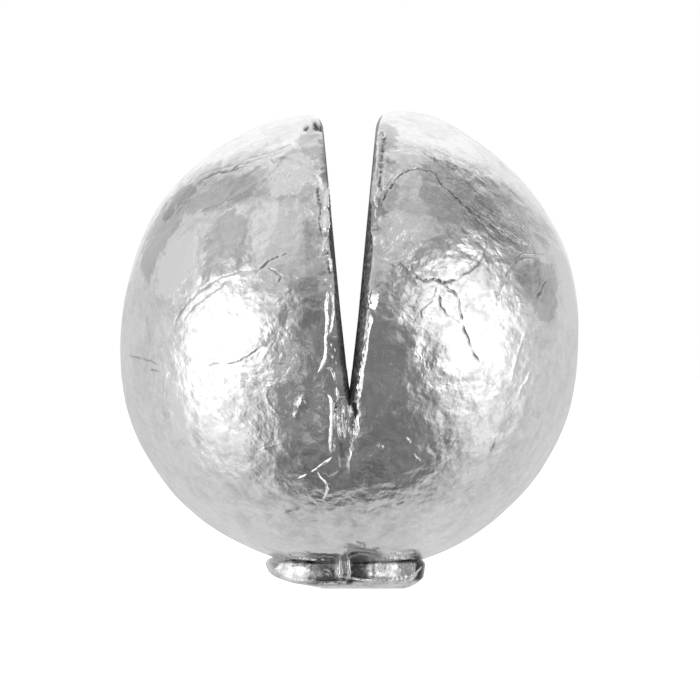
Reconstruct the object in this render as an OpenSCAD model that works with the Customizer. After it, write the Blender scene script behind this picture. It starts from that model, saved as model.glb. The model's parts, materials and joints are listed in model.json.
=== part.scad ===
// Round split shot: a cast lead ball with a tapered slot that is pinched shut on a fishing line.
// Millimetres. +Z is up, +X is right, and the photographed face looks towards -Y.
// The origin is the middle of the flat end of the gate stub, on which the shot stands.
// The shot is one casting, made in two half moulds that met on the plane of the slot.
// It is divided here where it bends: two jaws swing about the slot's root line, and the metal
// under that line, with the gate stub below it, stays still.

/* [Ball] */
// Radius of the rounded shoulder that turns each half of the ball
shoulder_r = 5.65; // [5.2:0.01:6]
// Distance from the slot's middle plane to the shoulder's centre: half of the ball's upright belt
belt_half = 0.33; // [0.1:0.01:0.6]
// Radius of the flat pole at each side of the ball
crown_r = 0.32; // [0.1:0.01:0.6]

/* [Slot] */
// Tilt of each slot face from upright, in degrees
face_tilt = 5.3; // [3:0.1:8]
// Depth of the slot's root line below the ball's centre
root_drop = 1.3; // [0.8:0.02:1.8]
// Radius of the root halfway through the ball
root_r = 0.06; // [0.04:0.01:0.12]
// Radius of the root where it leaves the ball's face
mouth_r = 0.38; // [0.26:0.02:0.5]
// Radius of the rounded rim of each slot face
rim_r = 0.34; // [0.24:0.02:0.5]
// Radius of the flare that runs round the slot's ends
flare_r = 0.42; // [0.32:0.02:0.56]
// Depth of the flare at the ball's waist
flare_depth = 0.28; // [0.14:0.02:0.36]
// Angle below the waist where the flare runs out, in degrees
flare_end = 38; // [30:1:46]

/* [Hinge] */
// Width of still metal beyond the stub at each side, where the ball meets the stub's wall
web_margin = 0.49; // [0.2:0.01:1]

/* [Gate stub] */
// Height from the stub's flat end up to the ball's belt
stub_h = 0.54; // [0.3:0.02:1]
// Width of the stub, left to right
stub_w = 4.18; // [3.6:0.02:4.6]
// Depth of the stub, front to back
stub_d = 3.3; // [2.6:0.05:3.6]
// Radius of the worn lower edge
edge_r = 0.46; // [0.2:0.02:0.6]
// Height of the widest line of the stub's wall
stub_waist_z = 0.64; // [0.6:0.02:0.8]
// Draw-in of the wall from its widest line up to its buried end
stub_neck = 0.26; // [0.05:0.01:0.4]

/* [Flash] */
// Radius across the corners of the bead of flash along a slot rim
bead_r = 0.1; // [0.06:0.01:0.14]
// Upper end of the left bead, in degrees above the waist
left_bead_angle = 44; // [10:1:60]
// Upper end of the right bead, in degrees above the waist
right_bead_angle = 63; // [10:1:70]
// Radius of the seam that runs down the parting line from the slot to the stub
seam_r = 0.06; // [0.04:0.01:0.1]
// Thickness of the parting fin on the stub
fin_t = 0.3; // [0.2:0.02:0.5]
// Height that the fin stands out of the stub's wall
fin_out = 0.14; // [0.08:0.02:0.24]
// Height of the fin's lower end above the stub's flat end
fin_z = 0.3; // [0.1:0.02:0.5]

/* [Hidden] */
$fn = 96;

// Overrun of a cutter past the metal that it cuts, and of a foot into the metal that it joins
over = 0.5;

// Radius of the ball's belt, which is also half its depth from front to back
belt_r = crown_r + shoulder_r;
// Height of the ball's centre, and of the slot's root line about which both jaws swing
ball_z = stub_h + belt_r;
root_z = ball_z - root_drop;
// Reach that clears the whole ball from any point inside it
reach = 2 * (belt_r + belt_half) + over;

// Each half is turned about a line square to its slot face: face_t is the face's place on that line
face_t = -root_drop * sin(face_tilt);
// Centre of the rim's round, which touches the face and the shoulder
rim_t = face_t - rim_r;
rim_rho = crown_r + sqrt(pow(shoulder_r - rim_r, 2) - pow(rim_t + belt_half, 2));
// Place where that round meets the shoulder, and where the flash stands
bead_t = -belt_half + (rim_t + belt_half) * shoulder_r / (shoulder_r - rim_r);
bead_rho = crown_r + (rim_rho - crown_r) * shoulder_r / (shoulder_r - rim_r);

// Half the length of the root line, and its latitude below the waist in degrees
root_half = sqrt(belt_r * belt_r - root_drop * root_drop);
root_lat = asin(root_drop / belt_r);
// Taper of the root from its middle to its mouth, per unit of length
root_taper_share = (mouth_r - root_r) / root_half;
// Lower end of the beads, where they meet the mouth of the root
bead_low = asin(mouth_r / belt_r) - root_lat;
// Drop of the flare's ring below the ball's centre, so that it runs out at flare_end
flare_drop = flare_depth / sin(flare_end);
// Height at which the ball meets the stub's wall, left and right, and the wall's buried end
stub_meet_z = ball_z - sqrt(belt_r * belt_r - stub_w * stub_w / 4);
stub_top = stub_meet_z + over;
// Half of the angle that the still metal fills below the root line
web_half_angle = atan((stub_w / 2 + web_margin) / (root_z - stub_meet_z));

// Turns an outline about the line that is square to the left slot face
module turn_left_half() {
  translate([0, 0, ball_z]) rotate([0, 90 - face_tilt, 0]) rotate_extrude() children();
}

// Left half of the ball: the shoulder from the pole round to the line through [rho, t], and a
// straight-sided core that reaches core_t at the radius rho
module left_half(rho, t, core_t) {
  centre = [crown_r, -belt_half];
  turn_left_half() intersection() {
    translate(centre) circle(shoulder_r);
    polygon([centre, centre + 2 * ([rho, t] - centre), [reach, -reach], [crown_r, -reach]]);
  }
  turn_left_half()
    polygon([[0, core_t], [rho, core_t], [rho, t],
             [crown_r, -belt_half - shoulder_r], [0, -belt_half - shoulder_r]]);
}

// Left half that ends at its slot face, with a rounded rim
module slotted_left_half() {
  left_half(rim_rho, rim_t, face_t);
  turn_left_half() translate([rim_rho, rim_t]) circle(rim_r, $fn = 48);
}

// Left half that runs on past the middle plane with no slot
module whole_left_half() {
  left_half(belt_r, -belt_half, over);
}

// Slot ends: the root, round about its line and wider towards the ball's faces, and the ring of
// the flare, which runs out on the ball below the root
module slot_ends() {
  for (turn = [90, -90])
    translate([0, 0, root_z]) rotate([turn, 0, 0])
      cylinder(h = root_half + over, r1 = root_r, r2 = root_r + root_taper_share * (root_half + over));
  translate([0, 0, ball_z - flare_drop]) rotate([0, 90, 0]) rotate_extrude()
    translate([belt_r - flare_depth + flare_r, 0]) circle(flare_r, $fn = 48);
}

// Left half of the ball above the plane in which it meets the still metal
module left_solid() {
  difference() {
    intersection() {
      slotted_left_half();
      translate([0, 0, root_z]) rotate([0, web_half_angle, 0])
        translate([-reach, -reach, -reach]) cube([reach, 2 * reach, 2 * reach]);
    }
    slot_ends();
  }
}

module left_jaw() {
  color("silver") left_solid();
}

module right_jaw() {
  color("silver") mirror([1, 0, 0]) left_solid();
}

// Left half of the still metal: the part of the unslotted ball inside the web's angle
module left_web() {
  intersection() {
    whole_left_half();
    translate([0, reach / 2, root_z]) rotate([90, 0, 0]) linear_extrude(reach)
      polygon([[0, 0], [-reach * tan(web_half_angle), -reach], [0, -reach]]);
  }
}

// The ball with no slot, which the gate and its fins run up to
module whole_ball() {
  whole_left_half();
  mirror([1, 0, 0]) whole_left_half();
}

// The still metal under the root line, which bends when the jaws are pinched
module hinge_web() {
  color("silver") difference() {
    union() {
      left_web();
      mirror([1, 0, 0]) left_web();
    }
    slot_ends();
  }
}

// Half outline of the stub's wall, half_w from its axis at its widest line
module stub_outline(half_w) {
  polygon([[0, 0], [half_w - edge_r, 0], [half_w, edge_r], [half_w, stub_waist_z],
           [half_w - stub_neck, stub_top], [0, stub_top]]);
  intersection() {
    translate([half_w - edge_r, edge_r]) circle(edge_r, $fn = 48);
    square([half_w, edge_r]);
  }
}

// The stub with its upper end buried in the ball: straight in its middle and round at both ends
module stub_body() {
  straight = stub_w - stub_d;
  for (side = [-1, 1])
    translate([side * straight / 2, 0, 0]) rotate([0, 0, -90 * side])
      rotate_extrude(angle = 180) stub_outline(stub_d / 2);
  translate([-straight / 2, 0, 0]) rotate([90, 0, 90]) linear_extrude(straight)
    for (flip = [0, 1]) mirror([flip, 0, 0]) stub_outline(stub_d / 2);
}

// What is left of the gate through which the lead was poured
module gate_stub() {
  color("lightgray") difference() {
    stub_body();
    whole_ball();
  }
}

// Parting line at the front and the back: a low seam down the ball, and a fin on the stub's wall
module parting_fins() {
  fin_y = stub_d / 2 + fin_out - fin_t / 2;
  seam_arc = 90 - flare_end - asin(fin_y / belt_r);
  color("gainsboro") difference() {
    for (side = [-1, 1]) mirror([0, side > 0 ? 1 : 0, 0]) {
      translate([0, -fin_y, fin_z]) cylinder(h = stub_top - fin_z, d = fin_t, $fn = 32);
      translate([-fin_t / 2, -fin_y, fin_z]) cube([fin_t, fin_y, stub_top - fin_z]);
      translate([0, 0, ball_z]) rotate([0, 90, 0]) rotate([0, 0, -90 + flare_end])
        rotate_extrude(angle = seam_arc) translate([belt_r, 0]) circle(seam_r, $fn = 24);
    }
    stub_body();
    whole_ball();
  }
}

// Beads of flash along the left slot rim, front and back, from the root's mouth up to top_lat
module left_beads(top_lat) {
  difference() {
    translate([0, 0, ball_z]) rotate([0, 90 - face_tilt, 0])
      for (flip = [0, 1]) mirror([0, flip, 0]) rotate([0, 0, -90 - top_lat])
        rotate_extrude(angle = top_lat - bead_low) translate([bead_rho, bead_t]) circle(bead_r, $fn = 8);
    left_solid();
  }
}

module left_slot_flash() {
  color("gainsboro") left_beads(left_bead_angle);
}

module right_slot_flash() {
  color("gainsboro") mirror([1, 0, 0]) left_beads(right_bead_angle);
}

hinge_web();
gate_stub();
parting_fins();
left_jaw();
right_jaw();
left_slot_flash();
right_slot_flash();
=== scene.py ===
"""Looks for a cast lead round split shot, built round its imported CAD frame.

Sizes in this file are millimetres until a mesh is finished, and metres in Blender. The front of the
shot faces -Y. Marks on its front are placed by the pixel of the photograph in which they show, and
are raised or cut in the mesh along the ball's normal.
"""

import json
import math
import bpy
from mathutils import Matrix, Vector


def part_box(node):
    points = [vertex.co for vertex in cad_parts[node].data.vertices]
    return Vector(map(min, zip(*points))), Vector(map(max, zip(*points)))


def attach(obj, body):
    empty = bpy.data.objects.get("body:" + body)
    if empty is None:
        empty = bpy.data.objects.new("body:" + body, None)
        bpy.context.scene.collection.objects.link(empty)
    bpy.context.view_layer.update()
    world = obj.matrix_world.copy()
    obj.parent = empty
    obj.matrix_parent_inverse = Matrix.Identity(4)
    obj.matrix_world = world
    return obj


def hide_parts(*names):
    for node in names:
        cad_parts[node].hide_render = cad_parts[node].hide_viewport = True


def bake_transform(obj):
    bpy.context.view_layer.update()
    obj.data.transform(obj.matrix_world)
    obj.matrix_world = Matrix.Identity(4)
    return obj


bl_info = {
    "name": "Cast Split Shot",
    "version": (1, 0, 0),
    "blender": (4, 5, 0),
    "location": "3D Viewport > Sidebar > Split Shot",
    "description": "Builds the cast skin, slot flash, gate foot and studio of a round split shot",
    "category": "Add Mesh",
}

import bpy
import numpy as np
from bpy.props import FloatProperty, FloatVectorProperty, IntProperty, PointerProperty
from mathutils import Vector, noise

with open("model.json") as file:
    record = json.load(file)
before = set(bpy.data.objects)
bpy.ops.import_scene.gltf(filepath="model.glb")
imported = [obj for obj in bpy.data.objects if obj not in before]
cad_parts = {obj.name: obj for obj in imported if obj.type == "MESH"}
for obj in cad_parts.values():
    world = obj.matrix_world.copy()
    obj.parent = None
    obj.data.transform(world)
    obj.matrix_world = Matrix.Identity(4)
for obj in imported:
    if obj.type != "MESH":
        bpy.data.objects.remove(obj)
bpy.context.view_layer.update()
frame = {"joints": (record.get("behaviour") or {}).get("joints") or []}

MM = 0.001

# The photograph: its side in pixels, the millimetres that a pixel spans at the ball's middle,
# the column of the slot's plane and the row of the flat end of the foot
PHOTO_SIDE = 700
PIXEL = 0.02614
MIDDLE_COLUMN = 349.5
FOOT_ROW = 588

# Taken from the frame: the height of the slot's root line, and the ball's half depth
ROOT_Z = frame["joints"][0]["pos_m"][2] / MM
BELT_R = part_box("left_jaw")[1].y / MM


class SHOT_PG_sizes(bpy.types.PropertyGroup):
    """Sizes of the shot's cast form"""

    root_drop: FloatProperty(
        name="Root drop", description="Depth of the slot's root below the ball's centre",
        default=1.3 * MM, unit="LENGTH",
    )
    shoulder_r: FloatProperty(
        name="Shoulder radius", description="Radius that turns each half of the ball",
        default=5.65 * MM, unit="LENGTH",
    )
    belt_half: FloatProperty(
        name="Half belt", description="Half the width of the ball's upright belt",
        default=0.33 * MM, unit="LENGTH",
    )
    crown_r: FloatProperty(
        name="Crown radius", description="Radius of the flat pole at each side",
        default=0.32 * MM, unit="LENGTH",
    )
    face_tilt: FloatProperty(
        name="Face tilt", description="Lean of each slot face",
        default=math.radians(5.3), subtype="ANGLE",
    )
    segments: IntProperty(
        name="Segments", description="Faces round each half before it is refined", default=240
    )
    rings: IntProperty(name="Rings", description="Faces from side to side of the ball", default=120)


class SHOT_PG_finish(bpy.types.PropertyGroup):
    """Colours and roughness of the lead, and the colours of its painted shade"""

    bright: FloatVectorProperty(
        name="Bright lead", description="Freshly cast lead", subtype="COLOR", default=(0.92, 0.92, 0.925)
    )
    dull: FloatVectorProperty(
        name="Dull lead", description="Lead with a grey bloom", subtype="COLOR", default=(0.54, 0.54, 0.55)
    )
    # Painted shade: the slot's walls get darker lead, standing in for the shade inside the narrow slot
    wall: FloatVectorProperty(
        name="Slot lead", description="Lead of the slot's walls", subtype="COLOR",
        default=(0.34, 0.34, 0.345),
    )
    # Painted shade: the slot's flare gets darker grey lead, standing in for the shade at the slot's mouth
    flare: FloatVectorProperty(
        name="Slot edge", description="Lead where the slot flares to the ball's face", subtype="COLOR",
        default=(0.50, 0.50, 0.505),
    )
    # Also the colour of the painted shade in the dark patches and in the dull patches named shade, hollow or
    # notch
    tarnish_and_shade: FloatVectorProperty(
        name="Tarnish", description="Lead in its dullest patches", subtype="COLOR",
        default=(0.30, 0.30, 0.305),
    )
    # The colour of the painted shade in the marks' creases, cracks, pits and holes, on the foot's front wall
    # and neck, and in the fin's hollow
    dark: FloatVectorProperty(
        name="Dark lead", description="Lead in creases and pits", subtype="COLOR", default=(0.05, 0.05, 0.05)
    )
    roughness: FloatProperty(
        name="Roughness", description="Least roughness of the cast skin", default=0.23, min=0.0, max=1.0,
        subtype="FACTOR",
    )


class SHOT_PG_stage(bpy.types.PropertyGroup):
    """Camera"""

    lens: FloatProperty(
        name="Lens", description="Focal length of the long lens", default=300.0, unit="CAMERA"
    )
    sensor: FloatProperty(
        name="Sensor", description="Width of the camera's sensor", default=36.0, unit="CAMERA"
    )


def size(name):
    """One of the shot's sizes from the sidebar, in millimetres."""
    return getattr(bpy.context.scene.shot_sizes, name) / MM


def ball_z():
    """Height of the ball's centre."""
    return ROOT_Z + size("root_drop")


def camera_place():
    """The camera's place in millimetres: level with the middle of the picture, straight in front."""
    stage = bpy.context.scene.shot_stage
    away = PHOTO_SIDE * PIXEL * stage.lens / stage.sensor
    side = (PHOTO_SIDE / 2 - MIDDLE_COLUMN) * PIXEL
    return side, -away, (FOOT_ROW - PHOTO_SIDE / 2) * PIXEL


def to_pixels(points):
    """Columns and rows of the photograph at which points in millimetres show."""
    cam_x, cam_y, cam_z = camera_place()
    scale = -cam_y / ((points[:, 1] - cam_y) * PIXEL)
    return PHOTO_SIDE / 2 + (points[:, 0] - cam_x) * scale, PHOTO_SIDE / 2 - (points[:, 2] - cam_z) * scale


def front_pixels(points):
    """Columns and rows of points in millimetres, those at the back as if they lay at the front."""
    at_front = points.copy()
    at_front[:, 1] = -np.abs(points[:, 1])
    return to_pixels(at_front)


def from_pixels(column, row, depth):
    """The point in millimetres that shows at a pixel and lies at the given depth along Y."""
    cam_x, cam_y, cam_z = camera_place()
    reach = (depth - cam_y) / -cam_y * PIXEL
    return cam_x + (column - PHOTO_SIDE / 2) * reach, depth, cam_z + (PHOTO_SIDE / 2 - row) * reach


# Meshes: picking and moving their points

def deselect_all():
    """Leaves object mode with nothing selected."""
    if bpy.context.mode != "OBJECT":
        bpy.ops.object.mode_set(mode="OBJECT")
    bpy.ops.object.select_all(action="DESELECT")


def select_only(*objects):
    """Selects just these objects, and makes the first of them active."""
    deselect_all()
    for obj in objects:
        obj.select_set(True)
    bpy.context.view_layer.objects.active = objects[0]


def settle(obj):
    """Puts the object's place, turn and size into its mesh."""
    select_only(obj)
    bpy.ops.object.transform_apply(location=True, rotation=True, scale=True)
    return obj


def named(obj, name):
    """Names an object and its mesh."""
    obj.name = name
    obj.data.name = name
    return obj


def join(objects, name):
    """Joins objects into the first of them."""
    select_only(*objects)
    bpy.ops.object.join()
    return named(objects[0], name)


def read(items, key, width=1):
    """One property of all of a mesh's points or faces, as an array."""
    flat = np.empty(len(items) * width)
    items.foreach_get(key, flat)
    return flat.reshape(-1, width) if width > 1 else flat


def points_of(obj):
    """The mesh's points in millimetres."""
    return read(obj.data.vertices, "co", 3) / MM


def set_points(obj, points):
    """Moves the mesh's points, given in millimetres."""
    obj.data.vertices.foreach_set("co", (points * MM).ravel())
    obj.data.update()


def face_centres(obj):
    """Centres of the faces, in millimetres."""
    return read(obj.data.polygons, "center", 3) / MM


def add_values(obj, name, values):
    """Keeps one value for each point, which the materials read."""
    attribute = obj.data.attributes.get(name) or obj.data.attributes.new(name, "FLOAT", "POINT")
    attribute.data.foreach_set("value", values.astype(np.float32))


def read_values(obj, name):
    """One value for each point, as kept by add_values."""
    return read(obj.data.attributes[name].data, "value")


def pick_faces(obj, wanted):
    """Selects just the faces that the list of truths names, and goes into edit mode."""
    mesh = obj.data
    mesh.vertices.foreach_set("select", np.zeros(len(mesh.vertices), bool))
    mesh.edges.foreach_set("select", np.zeros(len(mesh.edges), bool))
    mesh.polygons.foreach_set("select", wanted)
    mesh.update()
    bpy.ops.object.mode_set(mode="EDIT")
    bpy.ops.mesh.select_mode(type="FACE")


def refine(obj, wanted):
    """Cuts the wanted faces in four."""
    pick_faces(obj, wanted)
    bpy.ops.mesh.subdivide(number_cuts=1, quadcorner="INNERVERT")
    bpy.ops.object.mode_set(mode="OBJECT")


def bar(count, step, sides):
    """A bar along Z of many rings, one step apart, drawn out from a short cylinder of radius 1 mm."""
    deselect_all()
    bpy.ops.mesh.primitive_cylinder_add(
        vertices=sides, radius=MM, depth=step * MM, location=(0, 0, step * MM / 2)
    )
    obj = settle(bpy.context.object)
    pick_faces(obj, face_centres(obj)[:, 2] > step * 0.9)
    for _ in range(count - 2):
        bpy.ops.mesh.extrude_region_move(TRANSFORM_OT_translate={"value": (0, 0, step * MM)})
    bpy.ops.object.mode_set(mode="OBJECT")
    return obj


def smooth_by_angle(obj, degrees):
    """Shades smoothly over the edges that turn less than this."""
    select_only(obj)
    bpy.ops.object.shade_smooth_by_angle(angle=math.radians(degrees))


def unit(vectors):
    """The vectors at length 1, but for those of no length."""
    return vectors / np.maximum(np.linalg.norm(vectors, axis=1), 1e-6)[:, None]


def fade(low, high, values):
    """Runs smoothly from 0 at low to 1 at high, which may be the lower number."""
    share = np.clip((values - low) / (high - low), 0, 1)
    return share * share * (3 - 2 * share)


def lumps(points, width, seed, depth=3):
    """Soft noise from -1 to 1 over points in millimetres, with lumps of about the given width."""
    shift = Vector((seed * 17.3, seed * 5.1, seed * 9.7))
    return np.array([noise.fractal(Vector(p) / width + shift, 0.9, 2.1, depth) for p in points])


# Marks of casting on the photographed face, by name. Each has its half width in pixels, its height in
# millimetres and its line of pixels. A fold stands up on the right-hand side of its line, going along
# it, with painted shade in the crease under it, a crack is cut in with painted shade along it, a pit is
# cut in wide with grains of painted shade, a hole is painted dark all over with shade, and a ridge is a
# thin raised line.
FOLD, CRACK, PIT, HOLE, RIDGE = "fold", "crack", "pit", "hole", "ridge"

MARKS = {
    "left shoulder fold": (FOLD, 1.0, 0.026, ((188, 184), (196, 178), (206, 174), (216, 172), (232, 167),
        (252, 159), (273, 153), (289, 146))),
    "left shoulder crack": (CRACK, 0.8, 0.014, ((200, 181), (212, 176), (232, 170.5), (240, 165),
        (252, 162), (262, 158))),
    "left shoulder tear": (CRACK, 0.9, 0.016, ((217, 173), (226, 173), (238, 169), (247, 166))),
    "left upper fold": (FOLD, 0.9, 0.012, ((205, 211), (222, 205), (238, 198), (246, 193), (251, 188),
        (262, 183), (268, 179), (279, 166), (287, 155))),
    "left upper ridge": (RIDGE, 0.9, 0.008, ((224, 208), (240, 201), (254, 190), (270, 182))),
    "left upper nick": (CRACK, 1.1, 0.014, ((270, 160), (274, 163), (280, 158), (287, 156))),
    "left waist fold": (FOLD, 1.2, 0.030, ((176, 331), (178, 321), (182, 313), (190, 301), (200, 293),
        (209, 287), (222, 278), (238, 274), (250, 272), (259, 270))),
    "left waist inner fold": (FOLD, 1.0, 0.014, ((184, 322), (195, 307), (208, 297), (222, 288),
        (231, 280))),
    "left waist crack": (CRACK, 0.9, 0.020, ((256, 271), (262, 267.5), (268, 262), (276, 258.5),
        (287, 254))),
    "left waist tail": (CRACK, 0.9, 0.012, ((268, 268), (275, 271), (281, 277), (278, 283))),
    "left low crack": (CRACK, 0.8, 0.013, ((202, 365), (216, 364), (232, 363), (240, 361), (247, 358),
        (254, 352), (262, 347))),
    "left rim crack": (CRACK, 0.8, 0.013, ((129, 356), (138, 357.5), (148, 361), (158, 365))),
    "left rim short crack": (CRACK, 0.8, 0.010, ((150, 370), (160, 370.5))),
    "right shoulder fold": (FOLD, 1.2, 0.030, ((379.5, 208), (382, 200), (388, 186), (396, 177), (402, 172),
        (410, 167), (421, 167), (429, 169.5))),
    "right shoulder crest": (RIDGE, 1.0, 0.034, ((378.4, 206), (381, 198), (386, 187), (392, 178.4),
        (400, 170.6), (409, 165.8), (421, 165.4), (429, 168))),
    "right shoulder groove": (PIT, 0.75, 0.030, ((381, 206), (384, 199), (389, 189), (395, 180.5),
        (403, 173), (411, 169.5), (421, 170), (428, 172))),
    "right shoulder turn": (PIT, 0.65, 0.018, ((428, 170), (436, 175), (442, 186), (452, 194), (463, 205))),
    "right shoulder beads": (RIDGE, 1.2, 0.025, ((430, 184), (438, 187), (447, 194), (455, 201))),
    "right streak one": (CRACK, 1.2, 0.020, ((463, 205), (474, 213), (486, 221), (497, 231))),
    "right streak two": (CRACK, 1.0, 0.020, ((470, 214), (484, 226), (494, 240))),
    "right streak three": (RIDGE, 1.1, 0.024, ((478, 209), (489, 217), (497, 224), (508, 236))),
    "right streak four": (RIDGE, 1.0, 0.020, ((500, 232), (513, 239), (528, 246))),
    "right bulge foot": (PIT, 1.4, 0.030, ((416.5, 277), (423, 280.5), (436, 280), (445, 282), (455, 279))),
    "right bulge side": (CRACK, 1.0, 0.016, ((410, 266), (413, 272), (416.5, 277))),
    "right bulge crack": (CRACK, 0.9, 0.016, ((455, 279), (464, 274), (472, 269), (477, 266), (483.5, 256),
        (487, 238))),
    "right bulge ridge": (RIDGE, 1.0, 0.014, ((470, 265), (478, 258), (482, 247), (484, 237))),
    "right long crack": (CRACK, 1.0, 0.022, ((443, 283), (448, 289), (454, 292), (459, 299), (461, 314),
        (462, 323))),
    "right long crack end": (CRACK, 0.9, 0.018, ((462, 323), (468, 339), (472, 350), (476, 358),
        (479, 364))),
    "right loop": (CRACK, 1.0, 0.018, ((439, 296), (440, 306), (445, 313), (451, 316))),
    "right loop end": (CRACK, 0.6, 0.008, ((451, 316), (456, 319), (461, 323))),
    "right branch": (CRACK, 0.8, 0.008, ((436, 286), (433, 300), (421, 311), (421, 322))),
    "right rim fold": (FOLD, 1.1, 0.028, ((497, 310), (501, 289), (506, 277), (514, 266), (518.6, 258),
        (528, 254), (542, 255))),
    "right rim groove": (CRACK, 0.8, 0.012, ((504, 279), (511, 267), (517, 260), (524, 257.5), (540, 257))),
    "right rim crack": (CRACK, 0.8, 0.012, ((546, 281), (541, 290), (537, 298))),
    "right rim ridge": (RIDGE, 1.3, 0.020, ((518, 294), (519, 301), (522, 309))),
    "right low ridge": (RIDGE, 1.2, 0.020, ((525, 331), (520, 345), (516, 357), (513, 372), (512, 384))),
    "right low short ridge": (RIDGE, 1.1, 0.018, ((530, 373), (524, 384), (519, 395))),
    "right top nick": (RIDGE, 1.0, 0.016, ((511, 188), (507, 195), (506, 203))),
    "left drip": (RIDGE, 0.9, 0.014, ((266, 389), (267, 396), (269, 402), (277, 413))),
    "left low bead": (RIDGE, 2.7, 0.065, ((304, 396), (302, 403), (297, 411), (294, 417))),
    "left low ridge": (RIDGE, 1.0, 0.014, ((262, 449), (269, 447), (279, 443))),
    "left low dash": (RIDGE, 1.0, 0.012, ((229, 473), (234, 476), (239, 478))),
    "low smear": (CRACK, 1.3, 0.010, ((285, 513), (293, 510.5), (300, 508))),
    "right low crack": (CRACK, 0.8, 0.010, ((497, 437), (494, 445), (491.5, 454))),
    "right dash one": (RIDGE, 1.2, 0.030, ((405, 437), (410, 443))),
    "right dash two": (RIDGE, 1.0, 0.020, ((413, 454), (419, 462))),
    "right blob": (RIDGE, 2.0, 0.036, ((378, 446), (384, 449))),
    "right dash three": (RIDGE, 1.0, 0.016, ((449, 442), (459, 440))),
    "right low smear": (CRACK, 1.2, 0.010, ((396, 503), (404, 501))),
    "right comb one": (RIDGE, 0.9, 0.022, ((419, 150), (431, 156), (444, 165), (455, 172))),
    "right comb two": (RIDGE, 0.9, 0.022, ((434, 148), (441, 153), (449, 157))),
    "right comb three": (CRACK, 0.9, 0.022, ((430, 157), (445, 165), (456, 170))),
    "right comb four": (RIDGE, 0.9, 0.022, ((462, 169), (469, 178), (474, 189))),
    "right comb five": (CRACK, 0.9, 0.018, ((441, 160), (456, 168), (468, 183), (480, 196))),
    "right comb six": (RIDGE, 0.9, 0.018, ((452, 165), (470, 172), (486, 184))),
    "left rim ridge": (RIDGE, 1.0, 0.012, ((155, 345), (149, 352), (147, 360))),
    "left low rim ridge": (RIDGE, 1.6, 0.012, ((168, 370), (164, 380), (163, 390), (165, 398))),
    "left top hole": (HOLE, 2.7, 0.090, ((314.5, 126.6), (319, 127.2), (323.5, 128.6))),
    "left top hole peak": (HOLE, 2.1, 0.060, ((314.2, 123.4), (318, 126))),
    "left top hole end": (HOLE, 1.8, 0.050, ((304, 127.8), (307.4, 127.2))),
    "left top spot": (RIDGE, 1.8, 0.030, ((309.5, 151.5), (312.5, 155))),
    "left slab gap": (PIT, 1.5, 0.045, ((317.4, 190), (318.2, 197), (320, 207))),
    "left slab low gap": (PIT, 0.8, 0.030, ((320.2, 208), (319.6, 216), (320.2, 226), (321, 236))),
    "left slab foot": (PIT, 1.6, 0.035, ((322, 235), (328, 234.5), (331, 238))),
    "left second slab foot": (PIT, 1.3, 0.030, ((323, 254.5), (328, 254.5))),
    "left hook pit": (PIT, 1.8, 0.035, ((327.5, 262), (328, 267), (330, 273))),
    "right bead gap": (PIT, 1.9, 0.050, ((384.0, 138), (383.2, 147), (382.4, 156), (381.2, 166))),
    "right bead low gap": (PIT, 1.5, 0.040, ((381.4, 166), (380.4, 175), (379.6, 184), (381, 190))),
    "right bead side gap": (PIT, 1.0, 0.030, ((375.6, 143), (374.8, 158), (374, 172))),
    "right ring pit": (PIT, 1.6, 0.040, ((381.5, 134), (383, 135.5))),
    "right top stain": (CRACK, 1.6, 0.010, ((386, 160), (391, 163), (396, 162))),
    "neck bright line": (RIDGE, 1.5, 0.034, ((384, 557.6), (396, 558.2), (408, 558), (418, 556.6))),
    "neck upper line": (RIDGE, 1.1, 0.022, ((390, 553.6), (402, 553.4), (414, 552.6))),
    "neck left line": (RIDGE, 1.4, 0.030, ((292, 557.6), (301, 557.4), (314, 558.6))),
    "neck dark line": (CRACK, 1.0, 0.022, ((346, 556), (358, 553), (370, 555), (382, 556))),
    "neck left dark line": (CRACK, 0.9, 0.018, ((290, 554), (303, 553), (320, 555), (338, 556))),
    "neck scratch": (CRACK, 0.8, 0.014, ((355, 548), (366, 549), (376, 552))),
}

# The marks that the unseen back of the ball repeats upside down
BACK_MARKS = (
    "left shoulder fold", "left upper fold", "left waist fold", "left waist crack", "left low crack",
    "left rim crack", "right shoulder turn", "right streak one", "right bulge foot", "right long crack",
    "right long crack end", "right rim fold", "right low ridge", "left low ridge", "right low crack",
    "right top nick",
)

# Lead-out groove under the root: its middle column, its half width and its depth from row to row
GROOVE_ROWS = (398, 406, 416, 430, 444, 458, 476, 490)
GROOVE_COLUMNS = (346.5, 345.5, 345.0, 344.0, 343.0, 341.5, 341.0, 340.5)
GROOVE_HALF_WIDTHS = (9, 12.0, 12.5, 12.0, 10.5, 8.5, 6.5, 5.0)
GROOVE_DEPTHS = (0.06, 0.06, 0.06, 0.06, 0.07, 0.06, 0.04, 0.0)
# Distances in front of and behind the ball's middle past which it is cut, and its marks are refined
GROOVE_CUT, GROOVE_REFINED = 3, 4
# Streaks down its floor: their width as a share of their length, the rows between which they run out,
# and their height in millimetres
GROOVE_STREAK_SQUEEZE, GROOVE_STREAK_END, GROOVE_STREAK_RISE = 0.16, (450, 430), 0.012
GROOVE_MARKS = {
    "left wall pit": (PIT, 1.2, 0.035, ((335, 402), (335.4, 409), (334.6, 414))),
    "pocket": (HOLE, 3.4, 0.080, ((352.6, 405), (354.6, 411), (356, 419))),
    "pocket foot": (PIT, 1.3, 0.040, ((353, 422), (353.4, 430))),
    "groove floor": (CRACK, 2.6, 0.016, ((340, 444), (342, 452), (343, 462))),
}

# How far in pixels a fold and the other marks reach, and how far they stray from their lines
FOLD_REACH, MARK_REACH = 22, 9
STRAY = 1.5
# Waves in which a mark comes and goes along its line: their lengths in pixels divided by a full turn,
# and their share of the mark. At both ends a mark tapers to a share of its strength
WAVES, WAVER, END_STRENGTH = (3.1, 7.3), 0.28, 0.25
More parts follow.
